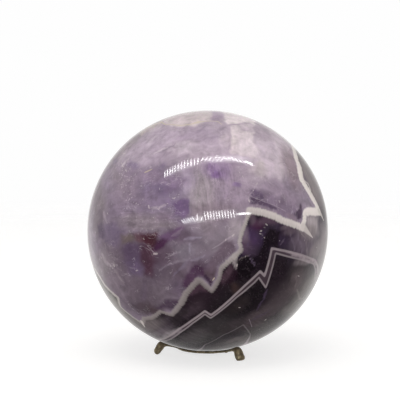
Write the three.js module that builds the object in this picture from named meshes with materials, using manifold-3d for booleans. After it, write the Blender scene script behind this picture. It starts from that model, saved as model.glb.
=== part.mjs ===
// A polished chevron amethyst sphere resting on a small three-legged metal stand.
//
// Millimetres, +Z up. The origin is on the surface that the stand stands on, straight under the
// middle of the sphere, and the front of the object faces -Y. The sphere is one solid stone. The
// stand is cast metal: a flat low ring close under the stone, and three stubby legs. Each leg has
// a thin arm that reaches in to the ring, a hollowed top that the stone sits on, and a shin that
// splays out to a wider, flattened toe.

import * as THREE from 'three';
import { mergeVertices } from 'three/addons/utils/BufferGeometryUtils.js';
import Module from 'manifold-3d';

const wasm = await Module();
wasm.setup();

// Driving dimensions
const sphereDiameter = 80;
const sphereLift = 1.2; // from the floor to the lowest point of the stone
const seatGap = 0.3; // clearance between pieces that touch
const ringRadius = 9.7; // to the middle of the flat ring
const ringWidth = 1.8;
const ringThickness = 0.8;
const legTopRadius = 15.1; // from the stand's axis to the middle of a leg where it meets the stone
const legTopThickness = 3.2; // in the plane of the leg
const legTopWidth = 2.6; // across that plane
const toeRadius = 16.9;
const toeThickness = 2.3;
const toeWidth = 3.4;
const toeFlat = 0.2; // how much of the round toe is filed away to make its foot pad
const armThickness = 0.8;
const armWidth = 1.6;
const legAngles = { left: -81.5, right: 38.5, back: 158.5 }; // degrees from the front, towards +X

// How finely the round forms are faceted
const sphereDetail = 15;
const ringSteps = 54;
const ringSides = 12;
const barSides = 16;
const barSteps = 10;
const endSteps = 4;

const sphereRadius = sphereDiameter / 2;
const sphereCentre = new THREE.Vector3(0, 0, sphereLift + sphereRadius);

// The height of the point that is a given distance outside the stone, on its underside.
function heightUnderStone(radius, distance) {
  return sphereCentre.z - Math.sqrt((sphereRadius + distance) ** 2 - radius ** 2);
}

const amethyst = new THREE.MeshStandardMaterial({
  name: 'polished_amethyst',
  color: 0x756780,
  roughness: 0.12,
  metalness: 0,
});

function agedBrass() {
  return new THREE.MeshStandardMaterial({
    name: 'aged_brass',
    color: 0x5f523f,
    roughness: 0.38,
    metalness: 1,
  });
}

// Closed meshes as solids that can be joined and cut, and back again.
function toSolid(geometry) {
  const bare = geometry.clone();
  bare.deleteAttribute('normal');
  bare.deleteAttribute('uv');
  const merged = mergeVertices(bare, 1e-5);
  const triVerts = new Uint32Array(merged.index.array);
  const vertProperties = new Float32Array(merged.attributes.position.array);
  return new wasm.Manifold(new wasm.Mesh({ numProp: 3, vertProperties, triVerts }));
}

function toGeometry(solid) {
  const mesh = solid.getMesh();
  const geometry = new THREE.BufferGeometry();
  geometry.setAttribute('position', new THREE.BufferAttribute(new Float32Array(mesh.vertProperties), 3));
  geometry.setIndex(new THREE.BufferAttribute(new Uint32Array(mesh.triVerts), 1));
  geometry.computeVertexNormals();
  return geometry;
}

// The stone: near-equal triangles all round, with no poles.
function makeSphere() {
  const mesh = new THREE.Mesh(new THREE.IcosahedronGeometry(sphereRadius, sphereDetail), amethyst);
  mesh.name = 'sphere';
  mesh.position.copy(sphereCentre);
  return mesh;
}

// The ring is turned: its section is an ellipse that leans with the underside of the stone and
// hangs just clear of it. A larger grow gives the room that the ring needs in another piece.
function ringGeometry(grow) {
  const height = heightUnderStone(ringRadius, seatGap + ringThickness / 2);
  const middle = new THREE.Vector2(ringRadius, height);
  const lean = Math.atan2(ringRadius, sphereCentre.z - height);
  const section = new THREE.EllipseCurve(
    0,
    0,
    ringWidth / 2 + grow,
    ringThickness / 2 + grow,
  ).getPoints(ringSides);
  section[ringSides].copy(section[0]);
  const profile = section.map((point) => point.clone().rotateAround(new THREE.Vector2(), lean).add(middle));
  return new THREE.LatheGeometry(profile, ringSteps).rotateX(Math.PI / 2);
}

function makeRing() {
  const mesh = new THREE.Mesh(ringGeometry(0), agedBrass());
  mesh.name = 'stand_ring';
  return mesh;
}

// A station of a leg's or an arm's middle line, in the plane of the leg: its radius from the
// stand's axis, its height, and the thickness and width of the metal there.
function station(radius, height, thickness, width) {
  return {
    place: new THREE.Vector2(radius, height),
    size: new THREE.Vector2(thickness / 2, width / 2),
  };
}

// The shin starts inside the stone, which then cuts it off, and ends in the toe.
function shinStations() {
  const topHeight = heightUnderStone(legTopRadius, 0);
  const toeHeight = toeThickness / 2 - toeFlat;
  const splay = toeRadius - legTopRadius;
  const drop = topHeight - toeHeight;
  const calfThickness = 0.45 * legTopThickness + 0.55 * toeThickness;
  const calfWidth = (legTopWidth + toeWidth) / 2;
  const ankleThickness = 0.15 * legTopThickness + 0.85 * toeThickness;
  return [
    station(legTopRadius - 0.28 * splay, topHeight + 0.35 * drop, legTopThickness, legTopWidth),
    station(legTopRadius, topHeight, legTopThickness, legTopWidth),
    station(legTopRadius + 0.3 * splay, topHeight - 0.34 * drop, calfThickness, calfWidth),
    station(legTopRadius + 0.68 * splay, topHeight - 0.69 * drop, ankleThickness, toeWidth),
    station(toeRadius, toeHeight, toeThickness, toeWidth),
  ];
}

// The arm starts at the ring, keeps just clear of the stone, and thickens into the shin.
function armStations() {
  const armEnd = legTopRadius - 0.2;
  const stations = [];
  for (const t of [0, 0.35, 0.7, 1]) {
    const radius = THREE.MathUtils.lerp(ringRadius + ringWidth / 2, armEnd, t);
    const thickness = armThickness * (1 + 0.9 * t * t);
    const width = THREE.MathUtils.lerp(armWidth, 0.85 * legTopWidth, t * t);
    stations.push(station(radius, heightUnderStone(radius, seatGap + thickness / 2), thickness, width));
  }
  return stations;
}

// The outline of a straight bar of unit radius and unit length with a flat start and a round end.
function barProfile() {
  const profile = [new THREE.Vector2(0, 0)];
  for (let i = 0; i <= barSteps; i += 1) {
    profile.push(new THREE.Vector2(1, i / barSteps));
  }
  for (let i = 1; i < endSteps; i += 1) {
    const angle = (i / endSteps) * (Math.PI / 2);
    profile.push(new THREE.Vector2(Math.cos(angle), 1 + Math.sin(angle)));
  }
  profile.push(new THREE.Vector2(0, 2));
  return profile;
}

// That bar is turned, then bent along a middle line: a point of the bar at length t goes to the
// line at t, moved across it by the half thickness and to the side by the half width, and the
// round end runs on along the last direction of the line.
function bentBar(stations) {
  const line = new THREE.SplineCurve(stations.map((s) => s.place));
  const sizes = new THREE.SplineCurve(stations.map((s) => s.size));
  const bar = new THREE.LatheGeometry(barProfile(), barSides);
  const points = bar.attributes.position;
  for (let i = 0; i < points.count; i += 1) {
    const t = Math.min(points.getY(i), 1);
    const place = line.getPoint(t);
    const tangent = line.getTangent(t);
    const size = sizes.getPoint(t);
    const across = points.getX(i) * size.x;
    const beyond = (points.getY(i) - t) * size.x;
    const radius = place.x + tangent.x * beyond - tangent.y * across;
    const height = place.y + tangent.y * beyond + tangent.x * across;
    points.setXYZ(i, radius, points.getZ(i) * size.y, height);
  }
  return bar;
}

// The stone hollows the top of the leg, the ring cuts off the arm, and the toe is filed flat
// where it stands.
function makeLegGeometry() {
  const stone = new THREE.IcosahedronGeometry(sphereRadius + seatGap, sphereDetail);
  stone.translate(sphereCentre.x, sphereCentre.y, sphereCentre.z);
  const ground = new THREE.BoxGeometry(4 * toeRadius, 4 * toeRadius, toeRadius);
  ground.translate(0, 0, -toeRadius / 2);
  const cutters = [stone, ringGeometry(seatGap), ground].map(toSolid);
  const whole = toSolid(bentBar(shinStations())).add(toSolid(bentBar(armStations())));
  const pieces = cutters.reduce((leg, cutter) => leg.subtract(cutter), whole).decompose();
  return toGeometry(pieces.sort((a, b) => b.volume() - a.volume())[0]);
}

function makeLeg(name, geometry, angle) {
  const mesh = new THREE.Mesh(geometry, agedBrass());
  mesh.name = `leg_${name}`;
  mesh.rotation.z = THREE.MathUtils.degToRad(angle - 90);
  return mesh;
}

const legGeometry = makeLegGeometry();
const model = new THREE.Group();
model.name = 'amethyst_sphere_on_stand';
model.add(makeSphere());
model.add(makeRing());
for (const [name, angle] of Object.entries(legAngles)) {
  model.add(makeLeg(name, legGeometry.clone(), angle));
}

export default model;
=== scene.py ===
# %% [markdown]
# # A chevron amethyst sphere on a small cast stand
#
# The object is one ball of banded quartz, 80 mm across, ground and polished from a lump of chevron
# amethyst. It rests on a small stand of darkened brass: a flat ring with three splayed legs, cast in
# one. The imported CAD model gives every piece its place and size. This lesson gives each piece its
# surface and its finish, and adds the light and the camera.

# %% Load the frame
import itertools
import math

import bpy
import numpy as np
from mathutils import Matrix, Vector


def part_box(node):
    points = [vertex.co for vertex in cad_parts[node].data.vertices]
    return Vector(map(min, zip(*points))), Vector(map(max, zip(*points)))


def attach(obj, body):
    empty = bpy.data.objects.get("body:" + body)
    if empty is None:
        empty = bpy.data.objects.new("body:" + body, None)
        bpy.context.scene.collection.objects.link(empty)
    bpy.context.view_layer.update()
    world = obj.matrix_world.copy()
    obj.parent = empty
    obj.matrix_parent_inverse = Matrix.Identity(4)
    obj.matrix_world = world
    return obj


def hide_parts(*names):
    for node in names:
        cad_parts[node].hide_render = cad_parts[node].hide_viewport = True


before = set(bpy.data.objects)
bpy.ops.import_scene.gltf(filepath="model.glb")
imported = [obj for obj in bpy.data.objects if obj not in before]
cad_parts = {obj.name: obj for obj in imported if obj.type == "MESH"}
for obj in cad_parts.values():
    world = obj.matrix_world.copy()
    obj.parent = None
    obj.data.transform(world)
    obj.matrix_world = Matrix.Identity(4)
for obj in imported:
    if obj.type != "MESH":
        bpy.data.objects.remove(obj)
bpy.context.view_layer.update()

MM = 0.001
print("pieces of the frame:", sorted(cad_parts))

# %% [markdown]
# ## Measures taken from the frame
#
# Everything is worked out from the stone's box. Its centre is the middle of all the patterns, and
# its radius turns directions into places, so that nothing has to be fitted by hand.

# %% The stone's centre and radius
stone_low, stone_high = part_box("sphere")
STONE_CENTRE = np.array((stone_low + stone_high) / 2)
STONE_RADIUS = (stone_high.z - stone_low.z) / 2
print("stone centre in mm:", (STONE_CENTRE / MM).round(2), "radius:", round(STONE_RADIUS / MM, 2))

# %% [markdown]
# ## The camera
#
# The photograph was taken from a little above the stone's middle, with a short telephoto lens, so
# the near side hardly bulges. The stone stands low in the picture, so the camera turns a little
# past it: it aims at a point beside the stone's centre, and no lens shift is needed.

# %% Place the camera
PICTURE_SIZE = 400
FOCAL_LENGTH_PIXELS = 1075
CAMERA_DISTANCE = 360 * MM
CAMERA_RISE = math.radians(4.5)
STONE_PIXEL = np.array([207.6, 230.4])
SENSOR_WIDTH_MM = 36.0

look = np.array([0, math.cos(CAMERA_RISE), -math.sin(CAMERA_RISE)])
picture_right = np.array([1.0, 0, 0])
picture_up = np.cross(picture_right, look)
camera_place = STONE_CENTRE - CAMERA_DISTANCE * look
off_centre = (STONE_PIXEL - PICTURE_SIZE / 2) * CAMERA_DISTANCE / FOCAL_LENGTH_PIXELS
aim = STONE_CENTRE - off_centre[0] * picture_right + off_centre[1] * picture_up

camera_data = bpy.data.cameras.new("photo_camera")
camera_data.sensor_width = SENSOR_WIDTH_MM
camera_data.lens = FOCAL_LENGTH_PIXELS * SENSOR_WIDTH_MM / PICTURE_SIZE
camera = bpy.data.objects.new("photo_camera", camera_data)
camera.location = Vector(camera_place)
camera.rotation_euler = Vector(aim - camera_place).to_track_quat("-Z", "Y").to_euler()
bpy.context.scene.collection.objects.link(camera)
bpy.context.scene.camera = camera
bpy.context.scene.view_settings.view_transform = "Standard"
print("lens in mm:", round(camera_data.lens, 1))

# %% [markdown]
# ## From the picture to the stone
#
# The markings on the front were read off the photograph as pixels. A straight line from the camera
# through a pixel meets the stone at one near point, and that point is where the marking lies. From
# then on every marking is a direction from the stone's centre, so it belongs to the stone and looks
# right from any side. Markings on the unseen side are given as degrees round and degrees up.

# %% Directions on the stone
VIEW_AXES = np.array(camera.rotation_euler.to_matrix())


def unit(vectors):
    """Each vector divided by its own length."""
    return vectors / np.linalg.norm(vectors, axis=-1, keepdims=True)


def seen(pixels):
    """Directions from the stone's centre to where pixels show on its near side.

    The distance along a ray to the sphere is b - sqrt(b^2 - c), with b the way to the ray's
    nearest point to the centre, and c the camera's squared distance less the squared radius.
    A pixel just outside the stone takes the nearest point of its outline.
    """
    pixels = np.asarray(pixels, float)
    across = pixels[..., 0] - PICTURE_SIZE / 2
    down = pixels[..., 1] - PICTURE_SIZE / 2
    rays = unit(np.stack([across, -down, np.full_like(down, -FOCAL_LENGTH_PIXELS)], -1)) @ VIEW_AXES.T
    to_centre = STONE_CENTRE - camera_place
    nearest = rays @ to_centre
    inside = np.maximum(nearest**2 - (to_centre @ to_centre - STONE_RADIUS**2), 0)
    places = camera_place + rays * (nearest - np.sqrt(inside))[..., None]
    return unit(places - STONE_CENTRE)


def shown(points):
    """Pixels at which directions on the stone show, and how squarely they face the camera.

    In the camera's own axes a place shows at f x / -z to the right and f y / -z up from the middle.
    The second value is the cosine of the angle between the surface's normal and the line of sight.
    """
    from_camera = STONE_CENTRE + points * STONE_RADIUS - camera_place
    x, y, z = (from_camera @ VIEW_AXES).T
    pixels = PICTURE_SIZE / 2 + FOCAL_LENGTH_PIXELS * np.stack([-x / z, y / z], -1)
    return pixels, -(points * unit(from_camera)).sum(-1)


def around(degrees):
    """Directions from degrees round from the front towards the right, and degrees up."""
    turn, rise = np.radians(np.asarray(degrees, float)).T
    level = np.cos(rise)
    return np.stack([level * np.sin(turn), -level * np.cos(turn), np.sin(rise)], -1)


print("the picture's middle shows the stone at", seen([PICTURE_SIZE / 2, PICTURE_SIZE / 2]).round(3))

# %% [markdown]
# ## Helpers for meshes
#
# A surface is worked out as one array of points, and then put into a mesh in one go. That is fast,
# and the shape stays a formula that can be read. Values that belong to each point, such as the
# distance to a band, ride along as attributes, which the materials read.

# %% Turn arrays into objects
def make_object(name, points, quads):
    """A smooth mesh object at the origin from points in metres and four corners for each face."""
    mesh = bpy.data.meshes.new(name)
    mesh.from_pydata(points, [], quads)
    mesh.shade_smooth()
    piece = bpy.data.objects.new(name, mesh)
    bpy.context.scene.collection.objects.link(piece)
    return piece


def give(piece, name, values):
    """Stores one number, one vector or one colour with alpha for each point of a piece."""
    kinds = {1: ("FLOAT", "value"), 3: ("FLOAT_VECTOR", "vector"), 4: ("FLOAT_COLOR", "color")}
    kind, field = kinds[1 if values.ndim == 1 else values.shape[1]]
    attribute = piece.data.attributes.new(name, kind, "POINT")
    attribute.data.foreach_set(field, np.ascontiguousarray(values, np.float32).ravel())


def grid_faces(rows, columns, closed_rows=False):
    """Corners of the faces of a grid whose columns close on themselves, and its rows if asked.

    Face (i, j) joins the points (i, j), (i + 1, j), (i + 1, j + 1) and (i, j + 1).
    """
    i, j = np.meshgrid(np.arange(rows if closed_rows else rows - 1), np.arange(columns), indexing="ij")
    below = (i + 1) % rows
    beside = (j + 1) % columns
    corners = [i * columns + j, below * columns + j, below * columns + beside, i * columns + beside]
    return np.stack(corners, -1).reshape(-1, 4)


# %% [markdown]
# ## The stone's surface
#
# A ball could be made of rings that meet at two poles, but its points would crowd there and the
# pattern would smear. Here a cube's six faces are blown up into a ball, which keeps all the points
# about half a millimetre apart. That is one and a half pixels of the picture, fine enough to carry
# the bands. Its edges are shared, so the surface is closed.

# %% Blow a cube up into a ball
FACES_PER_SIDE = 128


def ball(steps):
    """Directions and faces of a cube blown up into a ball.

    On each side of the cube the two parameters are angles from -45 to 45 degrees, and a point is
    the direction (tan a, tan b, 1), turned to its side and brought to length one.
    """
    angle = np.linspace(-math.pi / 4, math.pi / 4, steps + 1)
    a, b = np.meshgrid(np.tan(angle), np.tan(angle), indexing="ij")
    one = np.ones_like(a)
    sides = [
        (a, b, one), (b, a, -one), (one, a, b), (-one, b, a), (b, one, a), (a, -one, b),
    ]
    points = unit(np.concatenate([np.stack(side, -1).reshape(-1, 3) for side in sides]))
    i, j = np.meshgrid(np.arange(steps), np.arange(steps), indexing="ij")
    first = (i * (steps + 1) + j).ravel()
    one_side = np.stack([first, first + steps + 1, first + steps + 2, first + 1], -1)
    quads = np.concatenate([one_side + side * (steps + 1) ** 2 for side in range(6)])
    _, keep, shared = np.unique(points.round(6), axis=0, return_index=True, return_inverse=True)
    return points[keep], shared.reshape(-1)[quads]


directions, stone_faces = ball(FACES_PER_SIDE)
stone = make_object("polished_stone", STONE_CENTRE + directions * STONE_RADIUS, stone_faces)
print("stone:", len(directions), "points,", 2 * len(stone_faces), "triangles")

# %% [markdown]
# ## Zigzag bands
#
# In chevron amethyst the quartz grew as a crust of pointed crystals, purple and white in turn, and
# each colour change shows as a zigzag line wherever the ball cuts across it. A band is given here by
# the corners of its zigzag, with its width and how white it is at each corner. Along its lowest
# stretch on the front it is less white partly as painted shade. On the front the corners are read off
# the photograph, and the unseen side goes on in the same way.

# %% Corners of the thick upper band
# The low whiteness along the band's lowest stretch, from (152.8, 317.6) to (219.3, 278), is partly painted
# shade
# Pixels across and down, width in pixels, whiteness
UPPER_BAND_FRONT = np.array([
    (95.9, 271, 3.2, 0.7), (100.4, 278, 3.8, 0.62), (104.8, 285.2, 4, 0.55), (117.9, 297.6, 4, 0.48),
    (120.1, 306.4, 3.2, 0.38), (134.6, 318.4, 3.6, 0.32), (142.4, 323.6, 4, 0.26), (144.2, 318.6, 5, 0.21),
    (152.8, 317.6, 4.6, 0.17), (160.4, 311.6, 3.6, 0.17), (172, 314.8, 4.2, 0.17), (181.2, 303.4, 5.6, 0.18),
    (186.2, 293, 5.4, 0.18), (197.6, 280.6, 5.4, 0.17), (200.6, 280.8, 5, 0.17), (212, 291.2, 4.2, 0.17),
    (219.3, 278, 3.8, 0.18), (221.2, 268.4, 4.2, 0.24), (229, 261, 4.8, 0.32), (234.2, 256.8, 5, 0.38),
    (241.2, 250, 3.8, 0.3), (239.6, 242, 3.4, 0.41), (241.2, 234, 3.4, 0.38), (247.6, 217, 3, 0.4),
    (249.4, 210.4, 6.4, 0.58), (261.4, 212.1, 6.6, 0.63), (274.2, 216.2, 6.2, 0.66),
    (283.6, 220.9, 6.4, 0.68), (293.8, 224.2, 6.4, 0.7), (302.4, 227.7, 6.4, 0.84), (304.5, 220, 5.4, 0.92),
    (304.8, 212.8, 6.6, 0.94), (309, 211.2, 8, 1), (314, 211.8, 8, 1), (319.2, 211.6, 7, 0.97),
    (316.6, 205.4, 7.2, 0.95), (311.6, 196.4, 7.6, 0.95), (306.6, 187.8, 7.6, 0.95), (301.8, 180, 7.4, 0.95),
    (300.4, 174, 8.4, 1), (298.8, 165, 7.6, 1), (296.2, 159, 6.4, 1), (294, 150, 6, 1),
])
# Degrees round and up, width in millimetres, whiteness
UPPER_BAND_BACK = np.array([
    (97, 47, 1.6, 0.9), (108, 62, 1.7, 0.9), (132, 54, 1.9, 0.9), (150, 64, 1.5, 0.8), (172, 50, 1.9, 0.9),
    (-170, 57, 1.6, 0.8), (-146, 33, 1.8, 0.9), (-137, 40, 1.4, 0.8), (-122, 12, 1.8, 0.9),
    (-112, 17, 1.4, 0.8), (-98, -9, 1.6, 0.9), (-88, -10, 1.3, 0.85),
])

# %% Corners of the two thin lower lines
# Pixels across and down
OUTER_LINE_FRONT = np.array([
    (157.5, 339.6), (178.5, 329.3), (191.7, 320.5), (204.9, 311), (211, 315.1), (221, 307.4), (235, 294.8),
    (245, 285.4), (260.2, 271.2), (264.6, 276), (271.8, 248.3), (285.4, 251), (301, 254.8), (315, 260.2),
    (317.6, 265.5), (317.8, 276),
])
INNER_LINE_FRONT = np.array([
    (160.8, 341.2), (180.2, 332.4), (192.5, 323.3), (204.9, 314.2), (210.6, 318.2), (222, 309.8),
    (236.5, 297.3), (255, 281.9), (258.9, 277.6), (265.8, 287.8), (275.6, 253.1), (287.5, 256.4),
    (301, 259.6), (313.4, 263.8), (315.2, 268.5), (315, 277),
])
# Degrees round and up, and by how many degrees the inner line is lower
LOWER_LINES_BACK = np.array([
    (96, -29), (110, -3), (120, -10), (138, 27), (150, 20), (170, 36), (-173, 22), (-156, 25), (-138, -8),
    (-127, -4), (-110, -34), (-97, -33), (-87, -56),
])
LOWER_LINES_APART = 3.4

# %% Corners of the faint third line and of the band round the core, at the back
# Pixels across and down on the front, and degrees round and up on the back
THIRD_LINE_FRONT = np.array([
    (205, 344.6), (223.3, 335), (232.9, 330.7), (243.3, 324.7), (247.3, 329.5), (250.5, 334.3),
])
THIRD_LINE_BACK = np.array([
    (47, -66), (66, -50), (80, -56), (103, -28), (115, -35), (137, 2), (150, -6), (166, 10), (-178, -10),
    (-165, -7), (-146, -38), (-132, -34), (-112, -60), (-80, -74), (-30, -79),
])
CORE_BAND = np.array([
    (92, -66), (100, -48), (112, -54), (130, -22), (142, -30), (152, -20), (166, -34), (175, -32),
    (-172, -56), (-150, -62), (160, -76),
])

# %% [markdown]
# A shortest line between two points of a ball is a piece of a great circle. For every point of the
# stone this finds the nearest such piece of a line, how far it is and on which side, and how far
# along the line it lies. The side makes the distance change sign across the line, so it stays exact
# between the mesh's points, and a line thinner than a face still comes out sharp.

# %% Distance to a line on the stone
def measure(line):
    """Signed distance and place along a closed line in mm, for every point of the stone.

    With n the unit normal of the plane through the centre and one piece from a to b, the side
    distance is R asin(p . n). Beyond the ends it is the distance to the nearer end. Where two
    pieces share their nearest end, the piece seen more squarely decides the side.
    """
    tie_break = 1e-4
    ends = np.roll(line, -1, axis=0)
    best = np.full(len(directions), np.inf)
    signed = np.zeros(len(directions))
    along = np.zeros(len(directions))
    start = 0.0
    for a, b in zip(line, ends):
        normal = unit(np.cross(a, b))
        forward = np.cross(normal, a)
        side = np.arcsin(np.clip(directions @ normal, -1, 1))
        past_start = directions @ forward >= 0
        before_end = directions @ np.cross(b, normal) >= 0
        to_ends = np.minimum(np.linalg.norm(directions - a, axis=1), np.linalg.norm(directions - b, axis=1))
        to_ends = 2 * np.arcsin(np.clip(to_ends / 2, 0, 1))
        away = np.where(past_start & before_end, np.abs(side), to_ends)
        length = math.acos(min(1.0, a @ b))
        place = np.clip(np.arctan2(directions @ forward, directions @ a), 0, length)
        rank = away - tie_break * np.abs(side)
        nearer = rank < best
        best = np.where(nearer, rank, best)
        signed = np.where(nearer, np.copysign(away, side), signed)
        along = np.where(nearer, start + place, along)
        start += length
    return signed * STONE_RADIUS / MM, along * STONE_RADIUS / MM


def line_lengths(line):
    """How far along a closed line each of its corners lies, in mm, and the whole length last."""
    steps = np.arccos(np.clip((line * np.roll(line, -1, axis=0)).sum(1), -1, 1))
    return np.concatenate([[0], np.cumsum(steps)]) * STONE_RADIUS / MM


def carry(corner_values, line, along):
    """A value given at a closed line's corners, blended evenly between them."""
    return np.interp(along, line_lengths(line), np.append(corner_values, corner_values[0]))


# %% Measure the bands
PIXELS_PER_MM = FOCAL_LENGTH_PIXELS * MM / CAMERA_DISTANCE
# On the front and at the back
THIRD_LINE_HALF_MM = (0.14, 0.75)
THIRD_LINE_WHITENESS = (0.2, 0.8)
upper_width = np.concatenate([UPPER_BAND_FRONT[:, 2] / PIXELS_PER_MM, UPPER_BAND_BACK[:, 2]])
upper_white = np.concatenate([UPPER_BAND_FRONT[:, 3], UPPER_BAND_BACK[:, 3]])
third_parts = (len(THIRD_LINE_FRONT), len(THIRD_LINE_BACK))
lines = {
    name: np.concatenate([seen(front[:, :2]), around(back[:, :2])])
    for name, front, back in (
        ("upper", UPPER_BAND_FRONT, UPPER_BAND_BACK),
        ("outer", OUTER_LINE_FRONT, LOWER_LINES_BACK),
        ("inner", INNER_LINE_FRONT, LOWER_LINES_BACK - (0, LOWER_LINES_APART)),
        ("third", THIRD_LINE_FRONT, THIRD_LINE_BACK),
    )
}
lines["core"] = around(CORE_BAND)
measures = {}
along = {}
for name, line in lines.items():
    measures["above_" + name], along[name] = measure(line)
for name in ("upper", "outer"):
    measures["along_" + name] = along[name]
for name, line_name, values in (
    ("upper_half_width", "upper", upper_width / 2),
    ("upper_whiteness", "upper", upper_white),
    ("third_half_width", "third", np.repeat(THIRD_LINE_HALF_MM, third_parts)),
    ("third_whiteness", "third", np.repeat(THIRD_LINE_WHITENESS, third_parts)),
):
    measures[name] = carry(values, lines[line_name], along[line_name])
for name, values in measures.items():
    give(stone, name, values)
print("upper band is", round(line_lengths(lines["upper"])[-1]), "mm round")

# %% [markdown]
# ## Threads, gold and specks
#
# Cracks and growth layers show as thin threads of light, some with iron stain that looks golden,
# and tiny bubbles show as specks. They are thinner than the mesh's faces, so a plain distance would
# be lost between its points. What is stored instead is the way to the nearest spot of the thread as
# a vector, divided by the half width there. A vector blends evenly over a face, so its length is
# right everywhere on it, and the thread lies where that length is under one.

# %% Threads, gold and specks seen on the front
# Each thread is a list of corners: pixels across and down, and width in pixels
WHITE_THREADS = [
    [(141.5, 321.5, 3.6), (143.4, 325, 2.2), (144.9, 327.2, 0.8)],
    [(303.4, 227, 7.4), (307.6, 231.8, 4.4), (312.6, 237.6, 0.8)],
    [(318.6, 211, 5), (321.4, 215, 3.6), (323.6, 220.5, 1.4)],
    [(304.5, 180.5, 1.2), (308.2, 184, 1.6), (310.6, 190, 1.8), (310.9, 194, 1.2)],
]
FAINT_THREADS = [
    [(257, 184, 0.8), (253.2, 190.6, 1), (249.6, 194.6, 1.1), (248.6, 198.4, 1.4), (249.4, 201.8, 1.6)],
    [(249.8, 196, 1), (263, 201.2, 1), (274.4, 205.3, 1), (286, 211.6, 0.8)],
    [(235.9, 181.6, 1.1), (247, 184, 0.9), (256, 187, 0.9)],
    [(233.3, 235.4, 1.8), (225.7, 240, 1.5), (219, 245, 1.2), (212.5, 248.6, 0.9)],
    [(249, 319, 0.6), (252, 327, 0.6)],
    [(229.6, 127, 1.2), (229.9, 140, 1.4), (231, 150, 0.9)],
    [(212.8, 196.4, 1), (214.2, 198.4, 1.6), (212, 200.6, 1)],
    [(147.2, 245.7, 0.7), (152, 250.4, 0.9), (156, 254.5, 1.2)],
]
GOLDEN_THREADS = [
    [(147, 128, 2.6), (154, 124.8, 2.8), (160.5, 121.8, 2.4), (165, 124.4, 1.6)],
    [(165, 124.4, 1.4), (180.7, 125.6, 1.4), (191, 124.2, 1.6), (199.5, 121.8, 4.6)],
    [(199.5, 121.8, 2.2), (210, 121, 1.2), (217.4, 121.3, 1.2), (221.9, 124.4, 0.9)],
    [(144.8, 172.4, 1.4), (148.4, 170.9, 1.5), (152.2, 169, 0.8)],
    [(212.6, 280.2, 0.9), (214.4, 278, 1.2)],
]
# Pixels across and down, and size in pixels
SPECKS = np.array([
    (124.2, 153.4, 2.2), (121.4, 163.2, 1.4), (122.9, 166.4, 1.6), (126, 170.6, 1.6), (121.5, 173.5, 1.4),
    (128.6, 180, 1.2), (129.9, 194.4, 1.6), (136.3, 203.4, 1.6), (148.8, 206.9, 2.6), (159.6, 188.8, 1.4),
    (174.6, 198, 1.5), (179, 194.4, 1.3), (167.6, 203.6, 1.3), (153.4, 217.5, 1.3), (107.6, 213.5, 1.6),
    (155.4, 253.8, 3.2), (143.8, 239, 1.5), (114.2, 265.4, 2.4), (136.8, 270.6, 1.8), (101.4, 257.8, 1.2),
    (233.2, 235.2, 2.2), (225.8, 239.6, 1.8), (266.6, 224.6, 2), (261.2, 230.6, 1.6), (260.2, 233.8, 1.6),
    (279.4, 201.6, 2), (278.6, 178.4, 1.5), (278.6, 155.3, 1.5), (242.4, 176.2, 1.3), (239.6, 172.4, 1.2),
    (257, 183.4, 1.6), (253.2, 190.4, 1.5), (237, 265.4, 2.2), (245.4, 256.6, 1.4), (279.6, 240.8, 1.2),
    (239.6, 307.6, 1.5), (265.6, 319.8, 1.6), (249.2, 200.8, 2), (264.4, 237.6, 1.3), (298.6, 276, 1.6),
    (304.6, 240.4, 1.2), (316.6, 247.4, 1.2),
])

# %% The way to the nearest thread
THREAD_REACH_MM = 2.4
SPECK_REACH_MM = 1.6
FAR_VECTOR = 9.0
SPECK_SLIMNESS = 0.5


def to_nearest(threads, reach_mm):
    """The vector to the nearest spot of some threads, over the half width there.

    Each piece from a to b is a straight chord: its nearest spot is a + t (b - a), with t held
    between 0 and 1. Past the reach, in mm, every point gets the same far vector, so that two
    threads on opposite sides never cancel out within a face.
    """
    found = np.full((len(directions), 3), FAR_VECTOR)
    best = np.full(len(directions), reach_mm * MM / STONE_RADIUS)
    for thread in threads:
        thread = np.asarray(thread)
        places = seen(thread[:, :2])
        widths = thread[:, 2] / PIXELS_PER_MM
        for a, b, wide_a, wide_b in zip(places, places[1:], widths, widths[1:]):
            t = np.clip(((directions - a) @ (b - a)) / ((b - a) @ (b - a)), 0, 1)
            way = directions - a - t[:, None] * (b - a)
            far = np.linalg.norm(way, axis=1)
            half = (wide_a + (wide_b - wide_a) * t) * MM / 2 / STONE_RADIUS
            nearer = far < best
            found[nearer] = (way / half[:, None])[nearer]
            best = np.where(nearer, far, best)
    return found


# A speck is a short thread, turned at random and slimmer than it is long
speck_turns = np.random.default_rng(51).uniform(0, math.pi, len(SPECKS))
speck_ways = np.stack([np.cos(speck_turns), np.sin(speck_turns), 0 * speck_turns], -1) * SPECKS[:, 2:] / 2
speck_ends = np.stack([SPECKS - speck_ways, SPECKS + speck_ways], axis=1) * [1, 1, SPECK_SLIMNESS]
give(stone, "white_thread", to_nearest(WHITE_THREADS, THREAD_REACH_MM))
give(stone, "faint_thread", to_nearest(FAINT_THREADS, THREAD_REACH_MM))
give(stone, "golden_thread", to_nearest(GOLDEN_THREADS, THREAD_REACH_MM))
give(stone, "speck", to_nearest(speck_ends, SPECK_REACH_MM))
print("threads:", len(WHITE_THREADS) + len(FAINT_THREADS) + len(GOLDEN_THREADS), "specks:", len(SPECKS))

# %% [markdown]
# ## Clouds of colour
#
# Between its bands the quartz is cloudy: lilac where the iron in it is purple, grey where it isn't,
# brown or red where rust has crept in. The grey along the lower and right outline, though, is partly
# a painted reflection of the pale surroundings, and above the band the colours darken downwards partly
# as painted shade from the light above. The front is painted as a watercolour is, from broad washes to
# small strokes. A cloud is a soft ellipse, a wisp a soft stroke and a patch a shape with corners. Each
# has its place and size as they show in the photograph, and its colour was matched to colours measured
# there, so the front follows the photograph closely. Before that, every point is moved a little by
# smooth noise, so that nothing keeps a clean outline.

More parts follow.
